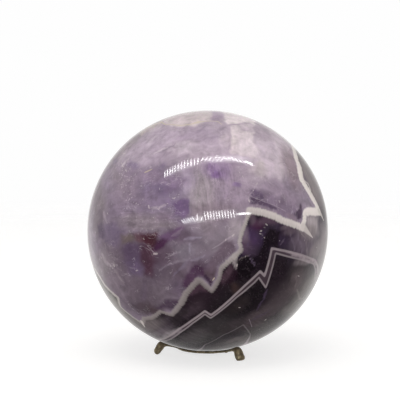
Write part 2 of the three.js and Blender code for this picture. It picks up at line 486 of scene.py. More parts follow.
# %% Colours from hex codes
def linear(code):
    """An sRGB hex colour as linear red, green and blue, with alpha 1."""
    levels = [int(code[i:i + 2], 16) / 255 for i in (1, 3, 5)]
    return [v / 12.92 if v <= 0.04045 else ((v + 0.055) / 1.055) ** 2.4 for v in levels] + [1.0]


# %% Smooth noise as arrays
def smooth_noise(places_mm, size_mm, seed, octaves=3):
    """Value noise from about -1 to 1.

    Random numbers sit on a cubic lattice. A point takes the mean of its cell's eight corners,
    weighted by the smooth step of its place in the cell. Each further octave halves the cell and
    the strength. The shift keeps the cells' numbers above zero.
    """
    side, shift = 16, 100
    random = np.random.default_rng(seed)
    total = np.zeros(len(places_mm))
    for octave in range(octaves):
        lattice = random.uniform(-1, 1, (side, side, side))
        scaled = places_mm / size_mm * 2**octave + shift
        cell = np.floor(scaled).astype(int)
        part = scaled - cell
        part = part * part * (3 - 2 * part)
        for corner in itertools.product((0, 1), repeat=3):
            weight = np.where(corner, part, 1 - part).prod(1)
            x, y, z = ((cell + corner) % side).T
            total += weight * lattice[x, y, z] * 0.5**octave
    return total


def smooth_step(low, high, values):
    """0 below low, 1 above high, and 3t^2 - 2t^3 between them."""
    t = np.clip((values - low) / (high - low), 0, 1)
    return t * t * (3 - 2 * t)


# %% Clouds above the upper band, darker downwards partly as painted shade
# Middle and half sizes in pixels, turn in degrees, colour, strength
UPPER_CLOUDS_AND_PAINTED_SHADE = [
    (208, 230, 130, 130, 0, "#8d7f8f", 1), (205, 136, 80, 30, 0, "#b7a7b6", 1),
    (150, 145, 40, 18, 33, "#b0a0b1", 0.9), (120, 150, 34, 7, 50, "#8f828b", 0.8),
    (203, 135, 22, 11, 5, "#aa9aac", 0.85), (222, 153, 26, 12, 0, "#bcacbb", 0.8),
    (183, 149, 13, 7, 10, "#c2b3c0", 0.7), (115, 200, 26, 32, 30, "#857688", 0.95),
    (158, 192, 32, 20, 0, "#83738a", 0.92), (98, 205, 9, 28, 8, "#887c84", 0.8),
    (112, 235, 13, 20, 10, "#76677d", 0.9), (150, 222, 36, 9, -2, "#80747d", 0.9),
    (204, 198, 14, 26, 5, "#a2969e", 0.95), (187, 180, 5.5, 14, -4, "#a596a9", 0.85),
    (240, 187, 26, 24, 0, "#9f8e9f", 0.85), (198, 244, 24, 13, -15, "#7a6e7a", 0.9),
    (176, 252, 9, 8, 0, "#706670", 0.8), (222, 238, 18, 18, 30, "#837782", 0.9),
    (181, 236, 13, 8, -10, "#665666", 0.9), (214, 211, 28, 9, 0, "#877883", 0.85),
    (160, 285, 38, 24, 15, "#6a5e68", 0.95), (116, 275, 20, 24, -30, "#7b6e79", 0.95),
    (140, 300, 15, 14, -20, "#594d57", 0.9), (104, 262, 9, 22, -25, "#8b8087", 0.8),
    (270, 156, 21, 28, -35, "#cabbc7", 0.95), (262, 168, 5, 8, 0, "#c3b8ba", 0.85),
    (283, 164, 6, 14, -10, "#c6b8c1", 0.85), (263, 132, 9, 6, -35, "#a494a3", 0.8),
    (290.5, 168, 20, 6, -70, "#8d7b85", 0.9), (283, 197, 18, 9, -25, "#9c8b9d", 0.9),
    (216, 171, 14, 9, -12, "#957da0", 0.85), (209, 167, 5, 4, -40, "#8a6e97", 0.85),
    (214.5, 176, 5, 4, -10, "#846894", 0.9), (237, 184.5, 4, 3, -15, "#846c94", 0.8),
    (250, 172, 9, 8, -30, "#a898a8", 0.7), (165, 188, 12, 7, -5, "#796984", 0.85),
    (141, 189, 8, 5, 10, "#786983", 0.8), (172, 203, 9, 5, 0, "#7d6b88", 0.6),
    (133, 168, 4.6, 4.4, 10, "#80708c", 0.85), (129, 176, 4, 4, 20, "#83738d", 0.7),
    (117, 161, 4, 3, 30, "#82748a", 0.85), (160, 170, 6, 3.4, 28, "#82728a", 0.85),
    (152, 179, 12, 6, 0, "#8f7d92", 0.8), (174, 179, 10, 5.5, 0, "#8e7b94", 0.85),
    (108.5, 182, 1.6, 4.4, -8, "#7c6d88", 0.85), (144, 287, 3.4, 12, 3, "#5b4d60", 0.6),
    (236, 228, 7, 11, 0, "#a3979f", 0.9), (146, 258, 30, 24, 0, "#584a58", 0.95),
    (203, 268, 15, 8, -35, "#594757", 0.9), (181, 286, 12, 9, 30, "#5e5060", 0.85),
    (183, 253, 9, 8, 0, "#7f7582", 0.6), (112, 248, 11, 13, 10, "#6b5d6a", 0.8),
    (126, 186, 15, 17, 20, "#958595", 0.7), (160, 255, 13, 9, 0, "#584654", 0.7),
    (212, 258, 15, 8, -35, "#6c5f6c", 0.6), (267, 194, 10, 5, 30, "#8b7b8b", 0.6),
    (182, 272, 8, 10, 30, "#5d4d5a", 0.7), (152, 307, 11, 6, -10, "#4f4249", 0.85),
    (136, 286, 11, 15, -8, "#6b5e69", 0.6), (104, 158, 30, 5, -58, "#83767f", 0.7),
    (128, 141, 24, 7, 42, "#8e808a", 0.75), (99, 216, 7, 20, 4, "#7a6d76", 0.7),
    (180, 218, 12, 6, -8, "#6c5c75", 0.8), (163, 217.5, 8, 4.6, 0, "#927f93", 0.6),
    (210, 226, 8, 7, 10, "#82757f", 0.6), (172, 187, 8, 5, 0, "#796580", 0.6),
    (180, 138, 10, 6, 0, "#a998ab", 0.6), (226, 139, 6, 8, 0, "#c9bac3", 0.6),
    (278, 128, 20, 4, -38, "#85747f", 0.85), (246, 113, 18, 7, -15, "#ddd0d6", 0.75),
    (190, 154, 9, 4, -20, "#c4b4c2", 0.7), (109, 175, 5, 12, 5, "#97889a", 0.7),
    (261, 171, 10, 7, -20, "#c7b9c0", 0.7), (265, 190, 10, 6, -20, "#a595a6", 0.6),
    (216, 127, 8, 6, 0, "#a597a4", 0.6), (178, 195, 8, 6, 0, "#94869a", 0.5),
    (225, 165, 20, 7, 0, "#a491a8", 0.35), (156, 310.5, 8, 4, -25, "#45383d", 0.7),
]

# %% Clouds below it, in the same form; the grey ones along the outline are partly painted reflection
# Grey clouds along the lower and right outline, such as those at (112, 302), (307, 290) and (320, 262), are
# partly a painted reflection of the pale surroundings
LOWER_CLOUDS_AND_RIM_REFLECTION = [
    (208, 300, 130, 60, 0, "#211a1f", 1), (302, 244, 13, 12, -15, "#5c505c", 0.95),
    (285, 234, 10, 6.5, -20, "#2c2030", 0.9), (281, 244, 7, 7, 0, "#33263a", 0.85),
    (256, 226, 7, 6, 0, "#42203c", 0.95), (251, 239, 6, 11, 5, "#45314f", 0.95),
    (263, 244, 5, 10, 5, "#33223e", 0.7), (235, 276, 6, 6, 0, "#181017", 0.8),
    (248, 256, 12, 8, 30, "#241a2c", 0.95), (228, 276, 13, 8, 40, "#271822", 0.92),
    (200, 297, 20, 11, 25, "#271c24", 1), (172, 319, 20, 6, 22, "#362d35", 0.95),
    (150, 324, 14, 7, 10, "#685f61", 0.9), (160, 333, 12, 5, 25, "#6a6067", 0.85),
    (240, 305, 26, 12, 35, "#1c181b", 0.95), (210, 330, 30, 11, 20, "#302c2e", 0.95),
    (185, 341, 24, 6, 12, "#464344", 0.95), (275, 270, 12, 18, -15, "#20181e", 0.95),
    (278, 298, 12, 14, -30, "#30282d", 0.9), (297, 280, 10, 20, -25, "#383134", 0.9),
    (307, 290, 6, 20, -33, "#5e5756", 0.85), (294, 308, 14, 6, 38, "#5d5756", 0.85),
    (262, 328, 18, 6, 22, "#3e393a", 0.85), (320, 262, 4, 16, -8, "#6f6568", 0.9),
    (310.5, 224, 6.5, 11, -10, "#a99ea2", 0.95), (323, 212.5, 2.6, 9, -8, "#1e1420", 0.95),
    (322, 240, 5, 14, -5, "#75696e", 0.9), (311, 178, 34, 9, -67, "#7d7275", 0.97),
    (306.3, 181, 7, 1.8, -65, "#6c5f6c", 0.9), (112, 302, 42, 7, -47, "#746e6b", 0.97),
    (131, 323, 14, 5, -40, "#655e5e", 0.8), (236, 327, 22, 6, 15, "#3b3437", 0.8),
    (262, 316, 18, 7, 33, "#4b4145", 0.85), (281, 299, 18, 7, 47, "#483f43", 0.85),
    (298, 282, 14, 6, 60, "#574d50", 0.8), (307, 232, 8, 7, 0, "#817679", 0.8),
    (314, 251, 5, 10, -8, "#786d71", 0.8), (246, 246, 5, 10, 10, "#5a4759", 0.8),
    (256, 259, 9, 10, 0, "#181018", 0.9), (251, 218, 4, 6, 10, "#6a5966", 0.6),
    (245, 234, 3, 8, 12, "#7b6a7a", 0.7), (252, 250, 6, 6, 0, "#4a3a4e", 0.6),
    (291, 232, 7, 4, 20, "#665861", 0.6), (193, 310, 14, 5, 35, "#3d3239", 0.6),
    (240, 304, 14, 6, 30, "#2b2426", 0.8), (192, 336, 14, 5, 15, "#474144", 0.7),
    (236, 289, 6, 4, -40, "#3c2d2c", 0.7), (304, 262, 8, 3, 15, "#83787c", 0.5),
    (267, 221.6, 11, 4.4, 15, "#5a4656", 0.85), (286, 226.5, 6, 3, 16, "#5f525b", 0.75),
    (240, 343, 30, 4, 12, "#57504f", 0.7),
]

# %% Patches above the band, where a crystal's face ends sharply
# Colour, strength, softness of the edge in pixels, and the corners in pixels
UPPER_PATCHES = [
    ("#cdbfc3", 0.95, 1.2, [160, 121, 168, 115, 185, 108, 213, 106, 212, 121.5, 199, 123, 194, 126, 179,
      126, 166, 124]),
    ("#cabbc0", 0.7, 2, [171, 116, 196, 115, 196, 124, 176, 124.5]),
    ("#e8dbdf", 0.95, 1.2, [222, 106, 243, 108, 255, 118, 254.5, 124.5, 244, 123, 236, 122.5, 228, 123.5,
      222, 117]),
    ("#ab97ad", 0.9, 1.8, [211, 109, 222, 109, 224, 117, 220, 121, 211, 121]),
    ("#b7a8a6", 0.85, 1.5, [137, 131, 148, 124, 160, 120, 162, 125, 150, 129, 141, 134]),
    ("#d5c7ce", 0.97, 1, [230.5, 125.5, 253, 125, 254.4, 134, 253, 141, 256, 150, 257, 158, 243, 156, 231,
      153]),
    ("#e2d4dc", 0.85, 2.5, [238, 140, 253, 140, 259, 157, 240, 155]),
    ("#bdadbb", 0.8, 1.5, [238, 126, 253, 126, 253.5, 132, 242, 131.5]),
    ("#c6b8c5", 0.7, 1.5, [175, 144, 190, 142, 193, 147, 190, 154, 177, 154]),
    ("#725c7f", 0.9, 2, [173, 203, 180, 199.5, 190, 200.5, 191, 213, 184, 217, 175, 214]),
    ("#7c6b80", 0.7, 3.5, [251, 189, 263, 190, 281, 198, 297, 207, 299, 222, 285, 218, 266, 211, 250, 207]),
    ("#67566f", 0.8, 1.5, [249, 196, 251, 190.5, 256, 189, 262, 193, 264, 200, 256, 199]),
    ("#534259", 0.85, 1.1, [249.5, 196.5, 262, 200.5, 275, 206, 276, 209.5, 262, 205, 249.5, 204]),
    ("#9c8c97", 0.5, 1.5, [250, 205, 262, 206, 276, 211, 276, 214, 262, 209, 250, 207]),
    ("#4f3f52", 0.95, 0.9, [294.5, 213, 300.5, 203.5, 303, 208, 302, 218.5, 297.5, 219]),
    ("#6f625d", 0.75, 3, [120, 236, 131, 233, 137, 238, 132, 244, 122, 244]),
    ("#5e4049", 0.8, 2.5, [134, 233.5, 148, 232, 156, 231.5, 158, 236, 150, 239, 142, 243, 136, 240]),
    ("#664a6b", 0.8, 2.2, [157, 236, 168, 233, 182, 226, 185.5, 229, 175, 238, 166, 242]),
    ("#472530", 0.95, 4, [141, 234, 156, 233, 158, 243, 154, 251, 148, 248, 143, 242]),
    ("#40203e", 0.9, 2.2, [156.5, 241, 163, 238.5, 167, 241, 163, 247, 157, 250, 154, 250]),
    ("#5a4960", 0.85, 3.5, [121, 250, 128, 243.5, 140, 245, 143, 258, 139, 268, 127, 263]),
    ("#482f3d", 0.9, 4, [140, 245, 153, 247, 156, 262, 153, 277, 145, 276, 141, 262]),
    ("#62536b", 0.8, 4, [123, 262, 137, 261, 144, 268, 142, 277, 130, 275]),
    ("#482f47", 0.85, 2.4, [181, 286, 186, 276, 191, 267.5, 197, 264.5, 204, 269, 206, 276.5, 199, 277,
      193, 282, 188, 290]),
    ("#5a4a53", 0.85, 2, [204, 270, 217, 265, 214, 277, 210.8, 285, 205, 278]),
    ("#413242", 0.85, 2.6, [155, 306, 166, 301, 181, 299, 179, 307, 171, 311, 161, 308]),
    ("#4c4048", 0.8, 2.2, [133, 304, 147, 304, 148, 312, 140, 313]),
    ("#3a2a3c", 0.95, 1.2, [203, 276, 206, 274, 212.6, 281, 212, 286, 209.5, 286]),
    ("#655562", 0.85, 1.8, [224, 241, 232, 241.5, 237.5, 250, 229, 257, 219, 264, 211, 272, 208.5, 262,
      214, 251]),
    ("#74657c", 0.7, 2.5, [104, 225, 117, 222, 120, 236, 117, 247, 108, 246, 104, 238]),
    ("#57475e", 0.8, 2.5, [97, 224, 103, 222, 105, 230, 103, 238, 98.5, 238]),
    ("#6b5c6c", 0.7, 2.5, [98, 211, 103, 209, 105, 218, 100, 222]),
]

# %% Patches below it, in the same form
LOWER_PATCHES = [
    ("#4a3842", 0.8, 2.5, [220.5, 275, 229, 264.5, 233, 267, 229, 277, 223, 284]),
    ("#46333f", 0.8, 2.2, [187, 297, 193, 287, 200, 283, 206, 287, 208, 292, 200, 291, 193, 294]),
    ("#948a8c", 0.85, 0.8, [230.5, 261, 236, 257, 238.5, 264.5, 236.1, 267.2, 233, 264.4]),
    ("#170e16", 0.95, 2.2, [269, 228, 280, 231, 279, 250, 271, 247, 269, 253, 264.5, 268, 259, 262, 263,
      243]),
    ("#150f14", 0.95, 1.2, [236.5, 263, 248, 255, 256, 267, 247, 278, 238, 276]),
    ("#1a1519", 0.9, 1.6, [252, 288, 262, 284, 266, 289, 264, 300, 256, 308, 250, 300]),
    ("#958a8f", 0.88, 0.8, [286, 252, 301, 255.2, 315, 261, 317.5, 267, 315, 267, 313, 263.2, 301, 259.2,
      292, 256.4]),
    ("#8a8286", 0.8, 1.8, [157, 340, 166, 333, 178, 328.5, 181, 330, 170, 337, 161, 342]),
    ("#2a2327", 0.85, 1.5, [170, 320, 184, 309, 190, 309, 181, 321, 172, 327]),
]

# %% Wisps above the band and below it
# Start and end in pixels, width in pixels, colour, strength
UPPER_WISPS = [
    (146, 148, 158, 134, 3, "#c4b5c3", 0.6), (138, 152, 150, 138, 3, "#b9aab9", 0.4),
    (155, 153, 169, 146.5, 2.4, "#cdbfca", 0.7), (159, 153.8, 175, 143.5, 1.6, "#8f8093", 0.6),
    (150, 131, 163, 126, 3, "#bdb0b8", 0.5), (170, 140, 185, 131, 3, "#bcaebc", 0.45),
    (158, 158, 172, 151, 3, "#9c8c9d", 0.5), (130, 158, 121.5, 166.5, 1.8, "#c3b7bf", 0.7),
    (128, 150, 118, 163, 3, "#aea0ac", 0.5), (196, 132, 206, 126, 2.4, "#8f8094", 0.5),
    (210, 131, 224, 127, 2.4, "#978899", 0.6), (203, 140, 222, 134, 2.6, "#9a8b9d", 0.5),
    (206, 147, 226, 143, 3, "#bdadbd", 0.5), (190, 128, 198, 137, 3, "#9a8b9c", 0.4),
    (198, 115, 198, 124, 1.6, "#d8ccc4", 0.6), (156, 121.5, 162, 123.5, 2, "#857a80", 0.7),
    (229, 127, 230, 151, 1.4, "#b3a3b2", 0.6), (232.7, 130, 232.9, 150, 3.4, "#e0d3d6", 0.6),
    (235, 156, 258, 161, 4, "#c9bac8", 0.6), (258, 143, 266, 160, 4, "#cbbcca", 0.6),
    (270, 140, 278, 156, 3, "#a596a6", 0.5), (275, 150, 279, 172, 3, "#c6b9c4", 0.5),
    (283, 152, 286, 176, 2.4, "#a191a0", 0.35), (289, 150, 298, 176, 2.4, "#8f7a86", 0.5),
    (264, 176, 284, 186, 3, "#9d8d9d", 0.5), (247, 184, 262, 188, 2, "#a898a8", 0.4),
    (192, 180, 190, 214, 2, "#a89ea4", 0.4), (198, 172, 196, 205, 3, "#a99fa6", 0.4),
    (212, 188, 210, 212, 3, "#a0949b", 0.4), (222, 186, 219, 208, 3, "#a294a4", 0.4),
    (228, 176, 226, 200, 2, "#a795ab", 0.4), (240, 188, 238, 206, 2.4, "#a394a4", 0.4),
    (124, 206, 146, 205.5, 2, "#968898", 0.5), (150, 207.8, 164, 206.6, 2.4, "#b0a3ae", 0.6),
    (126, 222, 180, 219, 2.4, "#938690", 0.5), (135, 228, 168, 226, 3, "#8c7f88", 0.5),
    (118, 196, 131, 204, 2, "#9d8f9e", 0.5), (104, 210, 108, 222, 2.4, "#9c8f9a", 0.5),
    (169.5, 265, 190, 260, 2.4, "#8d828f", 0.5), (190, 260, 204.6, 255, 2.4, "#93889a", 0.5),
    (184, 240, 200, 238, 2.4, "#9b90a3", 0.6), (188, 252, 190, 243, 2.6, "#9a90a0", 0.6),
    (172, 262, 160, 272, 2, "#857a86", 0.5), (165, 258, 182, 248, 2, "#8a808a", 0.5),
    (171, 236, 184, 230, 2.8, "#8d7f8d", 0.45), (100, 255, 112, 268, 3, "#a3979f", 0.6),
    (112, 266, 125, 285, 3, "#95898f", 0.4), (287, 214.5, 296, 219, 6, "#96848f", 0.5),
    (174, 276, 189, 261, 2.4, "#81768a", 0.45),
]
LOWER_WISPS = [
    (291, 233, 294, 250, 2, "#6d6070", 0.6), (299, 235, 301, 253, 2.4, "#6b5f6c", 0.6),
    (306, 240, 308, 256, 2, "#74686f", 0.6), (284, 240, 281, 248, 1.2, "#6d5f70", 0.6),
    (237, 263, 248, 254.6, 1.2, "#6d6260", 0.5), (248, 255, 256, 267, 1.2, "#5a4c60", 0.7),
    (266.5, 288, 263, 300, 2, "#4a3c52", 0.6), (263, 300, 255, 311, 2, "#483b50", 0.6),
    (297, 290, 302, 300, 2.4, "#7b7272", 0.5), (298, 276, 294, 286, 1.2, "#75686c", 0.5),
    (270, 310, 250, 322, 2.4, "#463b48", 0.5), (250, 232, 247, 248, 1.6, "#584a6c", 0.45),
]

# %% Paint the front
# The front fades out between these cosines of the angle to the camera
FRONT_EDGE = (-0.3, 0.2)
# Size in millimetres and strength in pixels
BROAD_WARP = (9.0, 2.6)
FINE_WARP = (3.0, 1.8)
CLOUD_SOFTNESS = 0.6
WISP_THINNING = 0.6
WISP_EDGE = (1.5, 0.4)
places_mm = directions * STONE_RADIUS / MM
stone_pixels, facing = shown(directions)
on_front = smooth_step(*FRONT_EDGE, facing)


def warp(size_mm, pixels, seed):
    """How far noise of a size moves every point, across and down, in pixels."""
    return pixels * np.stack([smooth_noise(places_mm, size_mm, seed + axis) for axis in (0, 1)], -1)


ragged_pixels = stone_pixels + warp(*FINE_WARP, seed=13)
wobbly_pixels = ragged_pixels + warp(*BROAD_WARP, seed=11)


def ellipse(x, y, half_across, half_down, turn=0):
    """1 inside a soft ellipse of the picture and 0 outside it.

    The distance from the middle is counted in half sizes, so the edge is where it is one.
    """
    across, down = (wobbly_pixels - (x, y)).T
    c, s = math.cos(math.radians(turn)), math.sin(math.radians(turn))
    reach = np.hypot((across * c - down * s) / half_across, (across * s + down * c) / half_down)
    return smooth_step(1 + CLOUD_SOFTNESS, 1 - CLOUD_SOFTNESS, reach)


def to_chord(a, b):
    """Distance in pixels to the straight piece from a to b, and the share of the way along it.

    The nearest spot is a + t (b - a), with t held between 0 and 1.
    """
    t = np.clip((ragged_pixels - a) @ (b - a) / ((b - a) @ (b - a)), 0, 1)
    return np.linalg.norm(ragged_pixels - a - t[:, None] * (b - a), axis=1), t


def polygon(corners, softness):
    """1 inside a polygon of the picture and 0 outside it, with a soft edge.

    A point is inside if a level line from it to the right crosses the outline an odd number of
    times. Its distance to the outline then makes the edge soft.
    """
    corners = np.array(corners, float).reshape(-1, 2)
    x, y = ragged_pixels.T
    inside = np.zeros(len(x), bool)
    nearest = np.full(len(x), np.inf)
    for a, b in zip(corners, np.roll(corners, -1, axis=0)):
        nearest = np.minimum(nearest, to_chord(a, b)[0])
        between = (a[1] > y) != (b[1] > y)
        slope = (b[0] - a[0]) / (b[1] - a[1]) if b[1] != a[1] else 0.0
        inside ^= between & (x < a[0] + slope * (y - a[1]))
    return smooth_step(-softness, softness, np.where(inside, nearest, -nearest))


def lay(tint, colour, weight):
    """Moves a tint towards a colour by a weight for each point: tint + w (colour - tint)."""
    tint += weight[:, None] * (np.array(linear(colour)) - tint)


def paint_front(tint, clouds, patches, wisps):
    """Lays the clouds, the patches and then the wisps over a tint. A wisp thins towards its ends."""
    for *shape, colour, strength in clouds:
        lay(tint, colour, strength * on_front * ellipse(*shape))
    for colour, strength, softness, corners in patches:
        lay(tint, colour, strength * on_front * polygon(corners, softness))
    for *ends, width, colour, strength in wisps:
        away, t = to_chord(np.array(ends[:2]), np.array(ends[2:]))
        reach = away / (width / 2 * (1 - WISP_THINNING * (2 * t - 1) ** 2))
        lay(tint, colour, strength * on_front * smooth_step(*WISP_EDGE, reach))


# %% [markdown]
# The side that the photograph doesn't show starts as a broad wash, paler higher up and darker towards
# the bottom, partly as painted shade from the light above. It gets clouds of the same colours and
# sizes as the front, strewn at random from a fixed seed. Long narrow ones among them make its wisps.

# %% Strew clouds over the back
UPPER_PALETTE = ["#b9a9b9", "#a692ab", "#8a7796", "#6f5d78", "#8f8488", "#c5b6c0", "#5b4860", "#9a8d92"]
LOWER_PALETTE = ["#1f171f", "#2f2530", "#4a3a52", "#3d2c4c", "#5a4c58", "#27202a"]
STREWN_LONG_MM = (2, 10)
STREWN_SLIMNESS = (0.12, 0.8)
STREWN_STRENGTH = (0.3, 0.8)
STREWN_EDGE = (1.6, 0.4)


def strew_back(tint, palette, count, seed):
    """Lays soft ellipses with random places, turns, sizes and colours over the far side.

    Their distances are measured in the plane that touches the stone at each one's middle.
    """
    random = np.random.default_rng(seed)
    for _ in range(count):
        centre = unit(random.normal(size=3))
        centre[1] = abs(centre[1])
        first = unit(np.cross(centre, random.normal(size=3)))
        second = np.cross(centre, first)
        long_mm = random.uniform(*STREWN_LONG_MM)
        short_mm = long_mm * random.uniform(*STREWN_SLIMNESS)
        reach = np.hypot(wobbly_mm @ first / long_mm, wobbly_mm @ second / short_mm)
        same_half = directions @ centre > 0
        weight = random.uniform(*STREWN_STRENGTH) * smooth_step(*STREWN_EDGE, reach) * same_half
        lay(tint, palette[random.integers(len(palette))], weight * (1 - on_front))


def broad_wash(low_colour, high_colour, middle, upwards, drifting):
    """Two colours mixed for each point by a share, middle + upwards x height + drifting x noise."""
    low, high = np.array(linear(low_colour)), np.array(linear(high_colour))
    share = np.clip(middle + upwards * directions[:, 2] + drifting * drift, 0, 1)
    return low + share[:, None] * (high - low)


BACK_WARP_MM = 6.0
BACK_WARP_REACH_MM = 1.2
DRIFT_MM = 14.0
back_warp = [smooth_noise(places_mm, BACK_WARP_MM, seed) for seed in (15, 16, 17)]
wobbly_mm = places_mm + BACK_WARP_REACH_MM * np.stack(back_warp, -1)
drift = smooth_noise(places_mm, DRIFT_MM, seed=21)
# The upper wash is paler higher up and darker towards the bottom, partly as painted shade from the light
# above
upper_tint = broad_wash("#5a4e5b", "#b3a2b4", middle=0.42, upwards=0.62, drifting=0.14)
lower_tint = broad_wash("#1f181e", "#4d3f57", middle=0.35, upwards=0, drifting=0.35)
strew_back(upper_tint, UPPER_PALETTE, count=110, seed=41)
strew_back(lower_tint, LOWER_PALETTE, count=60, seed=42)
paint_front(upper_tint, UPPER_CLOUDS_AND_PAINTED_SHADE, UPPER_PATCHES, UPPER_WISPS)
paint_front(lower_tint, LOWER_CLOUDS_AND_RIM_REFLECTION, LOWER_PATCHES, LOWER_WISPS)
give(stone, "upper_tint", upper_tint)
give(stone, "lower_tint", lower_tint)
print("clouds:", len(UPPER_CLOUDS_AND_PAINTED_SHADE), "above the band and", len(LOWER_CLOUDS_AND_RIM_REFLECTION), "below it")

# %% [markdown]
# Fine wisps run through the clouds: slanting at the upper left, upright in the middle and level at
# the left. Flecks of fluid gather in some places. Where each kind shows is one channel of a colour.

# %% Where fine wisps and flecks show
# Middle and half sizes in pixels, turn in degrees, and the least share anywhere
WISP_AREAS = [(150, 140, 45, 22, 33, 0.3), (215, 190, 26, 30, 0, 0.2), (145, 216, 34, 20, 0, 0.15)]
FEWEST_FLECKS = 0.03
# Middle and half sizes in pixels, strength
FLECK_PATCHES = [
    (132, 182, 22, 22, 0.32), (210, 190, 26, 20, 0.17), (126, 176, 7, 13, 0.9), (133, 200, 8, 6, 0.9),
    (177, 196, 7, 5, 0.8), (156, 207.5, 12, 2.5, 0.8), (155, 224, 26, 7, 0.35), (148, 233, 14, 5, 0.2),
    (140, 150, 22, 12, 0.25), (244, 178, 6, 6, 0.4), (262, 240, 3, 8, 0.18), (270, 203, 20, 9, 0.3),
    (250, 262, 8, 8, 0.1), (222, 285, 8, 8, 0.08), (115, 268, 8, 10, 0.4),
]
wisp_areas = [np.maximum(ellipse(*shape) * on_front, least) for *shape, least in WISP_AREAS]
flecks = np.full(len(directions), FEWEST_FLECKS)
for *shape, strength in FLECK_PATCHES:
    flecks = np.maximum(flecks, strength * on_front * ellipse(*shape))
give(stone, "wisps", np.stack([*wisp_areas, flecks], -1))
print("fleck patches:", len(FLECK_PATCHES))

# %% [markdown]
# ## Helpers for materials
#
# A material is a tree of nodes. One small function adds a node, sets it up, joins its inputs and
# gives back the output that the next node needs, so a tree reads like a list of steps.

# %% Add a node
MIX_FACTOR, MIX_A, MIX_B, MIX_RESULT = 0, 6, 7, 2


def join(tree, node, inputs):
    """Gives each named input of a node its value, or a link from another node's output."""
    for name, value in inputs.items():
        if isinstance(value, bpy.types.NodeSocket):
            tree.links.new(value, node.inputs[name])
        else:
            node.inputs[name].default_value = value


def add(tree, kind, inputs=None, output=0, **settings):
    """Adds a shader node with its settings and inputs, and gives back one of its outputs."""
    node = tree.nodes.new("ShaderNode" + kind)
    for name, value in settings.items():
        setattr(node, name, value)
    join(tree, node, inputs or {})
    return node.outputs[output]


def start_material(name):
    """A material with its node tree and its Principled shader."""
    material = bpy.data.materials.new(name)
    material.use_nodes = True
    return material, material.node_tree, material.node_tree.nodes["Principled BSDF"]


# %% [markdown]
# ## The stone's finish
#
# Quartz is a clear crystal with an IOR of 1.54, here so full of tiny cracks and bubbles that light
# goes only a little way in. Polished, it mirrors sharply but weakly, and more strongly towards its
# outline. So the shader has a low roughness, the IOR of quartz and a little scattering under the
# surface. Its colour is built up in the order in which the stone was made: clouds, wisps, growth
# layers, bands, cracks and specks. Two helpers do the painting in the material at hand: one makes a
# soft stroke along a line, and the other lays a colour over another.

# %% Read the stone's attributes
stone_material, tree, stone_shader = start_material("polished_chevron_amethyst")
place = add(tree, "TexCoord", output="Object")
read = {name: add(tree, "Attribute", output="Fac", attribute_name=name) for name in measures}
tint = {
    name: add(tree, "Attribute", output="Color", attribute_name=name)
    for name in ("upper_tint", "lower_tint", "wisps")
}
fleck_share = add(tree, "Attribute", output="Alpha", attribute_name="wisps")

# %% Strokes and layers of colour
EDGE_MM = 0.22


def stroke(distance, half_width, soft=EDGE_MM):
    """1 where the distance is under the half width, 0 beyond it, with a soft edge."""
    size = add(tree, "Math", {0: distance}, operation="ABSOLUTE")
    beyond = add(tree, "Math", {0: size, 1: half_width}, operation="SUBTRACT")
    softened = add(tree, "Math", {0: beyond, 1: soft}, operation="DIVIDE")
    return add(tree, "MapRange", {
        "Value": softened, "From Min": 1.0, "From Max": -1.0,
    }, interpolation_type="SMOOTHSTEP")


def paint(mask, strength, below, over):
    """Lays a colour over another where a mask says, at some strength: below + m s (over - below)."""
    share = add(tree, "Math", {0: mask, 1: strength}, operation="MULTIPLY")
    return add(tree, "Mix", {
        MIX_FACTOR: share, MIX_A: below, MIX_B: linear(over) if isinstance(over, str) else over,
    }, output=MIX_RESULT, data_type="RGBA")


# %% [markdown]
# The wisps are noise drawn out in one direction. A Mapping node of the texture kind divides by its
# scale, so the scale is simply the wisp's length and width, and its turn is the wisp's slant. Each
# noise swings round zero, and what they add up to brightens or dims the clouds.

# %% Wisps in the clouds
# Noise lies mostly between these two values
NOISE_LOW = 0.3
NOISE_HIGH = 0.7
MOTTLE_MM = 3.6
MOTTLE_CONTRAST = 0.22
# Slant in degrees, length and width in millimetres, contrast
WISPS = [(-36, 6.0, 1.5, 0.15), (82, 6.0, 1.0, 0.22), (-4, 5.0, 1.2, 0.24)]
mottle = add(tree, "TexNoise", {
    "Vector": place, "Scale": 1 / (MOTTLE_MM * MM), "Detail": 6.0, "Roughness": 0.62, "Distortion": 0.6,
})
layers = [(mottle, MOTTLE_CONTRAST, 1.0)]
shares = add(tree, "SeparateColor", {0: tint["wisps"]}).node
for channel, (slant, length, width, contrast) in enumerate(WISPS):
    turned = add(tree, "Mapping", {
        "Vector": place,
        "Rotation": (0, math.radians(slant), 0),
        "Scale": (length * MM, length * MM, width * MM),
    }, vector_type="TEXTURE")
    wisp = add(tree, "TexNoise", {
        "Vector": turned, "Scale": 1.0, "Detail": 4.0, "Roughness": 0.62, "Distortion": 0.8,
    })
    layers.append((wisp, contrast, shares.outputs[channel]))
cloudiness = 1.0
for noise, contrast, share in layers:
    swing = add(tree, "MapRange", {
        "Value": noise, "From Min": NOISE_LOW, "From Max": NOISE_HIGH,
        "To Min": -contrast, "To Max": contrast,
    })
    cloudiness = add(tree, "Math", {0: swing, 1: share, 2: cloudiness}, operation="MULTIPLY_ADD")
upper_colour = add(tree, "VectorMath", {0: tint["upper_tint"], "Scale": cloudiness}, operation="SCALE")

# %% [markdown]
# Healed cracks show as thin pale veils. Noise passes its middle value along winding lines, so its
# distance from that value draws them, and a second noise breaks them up.

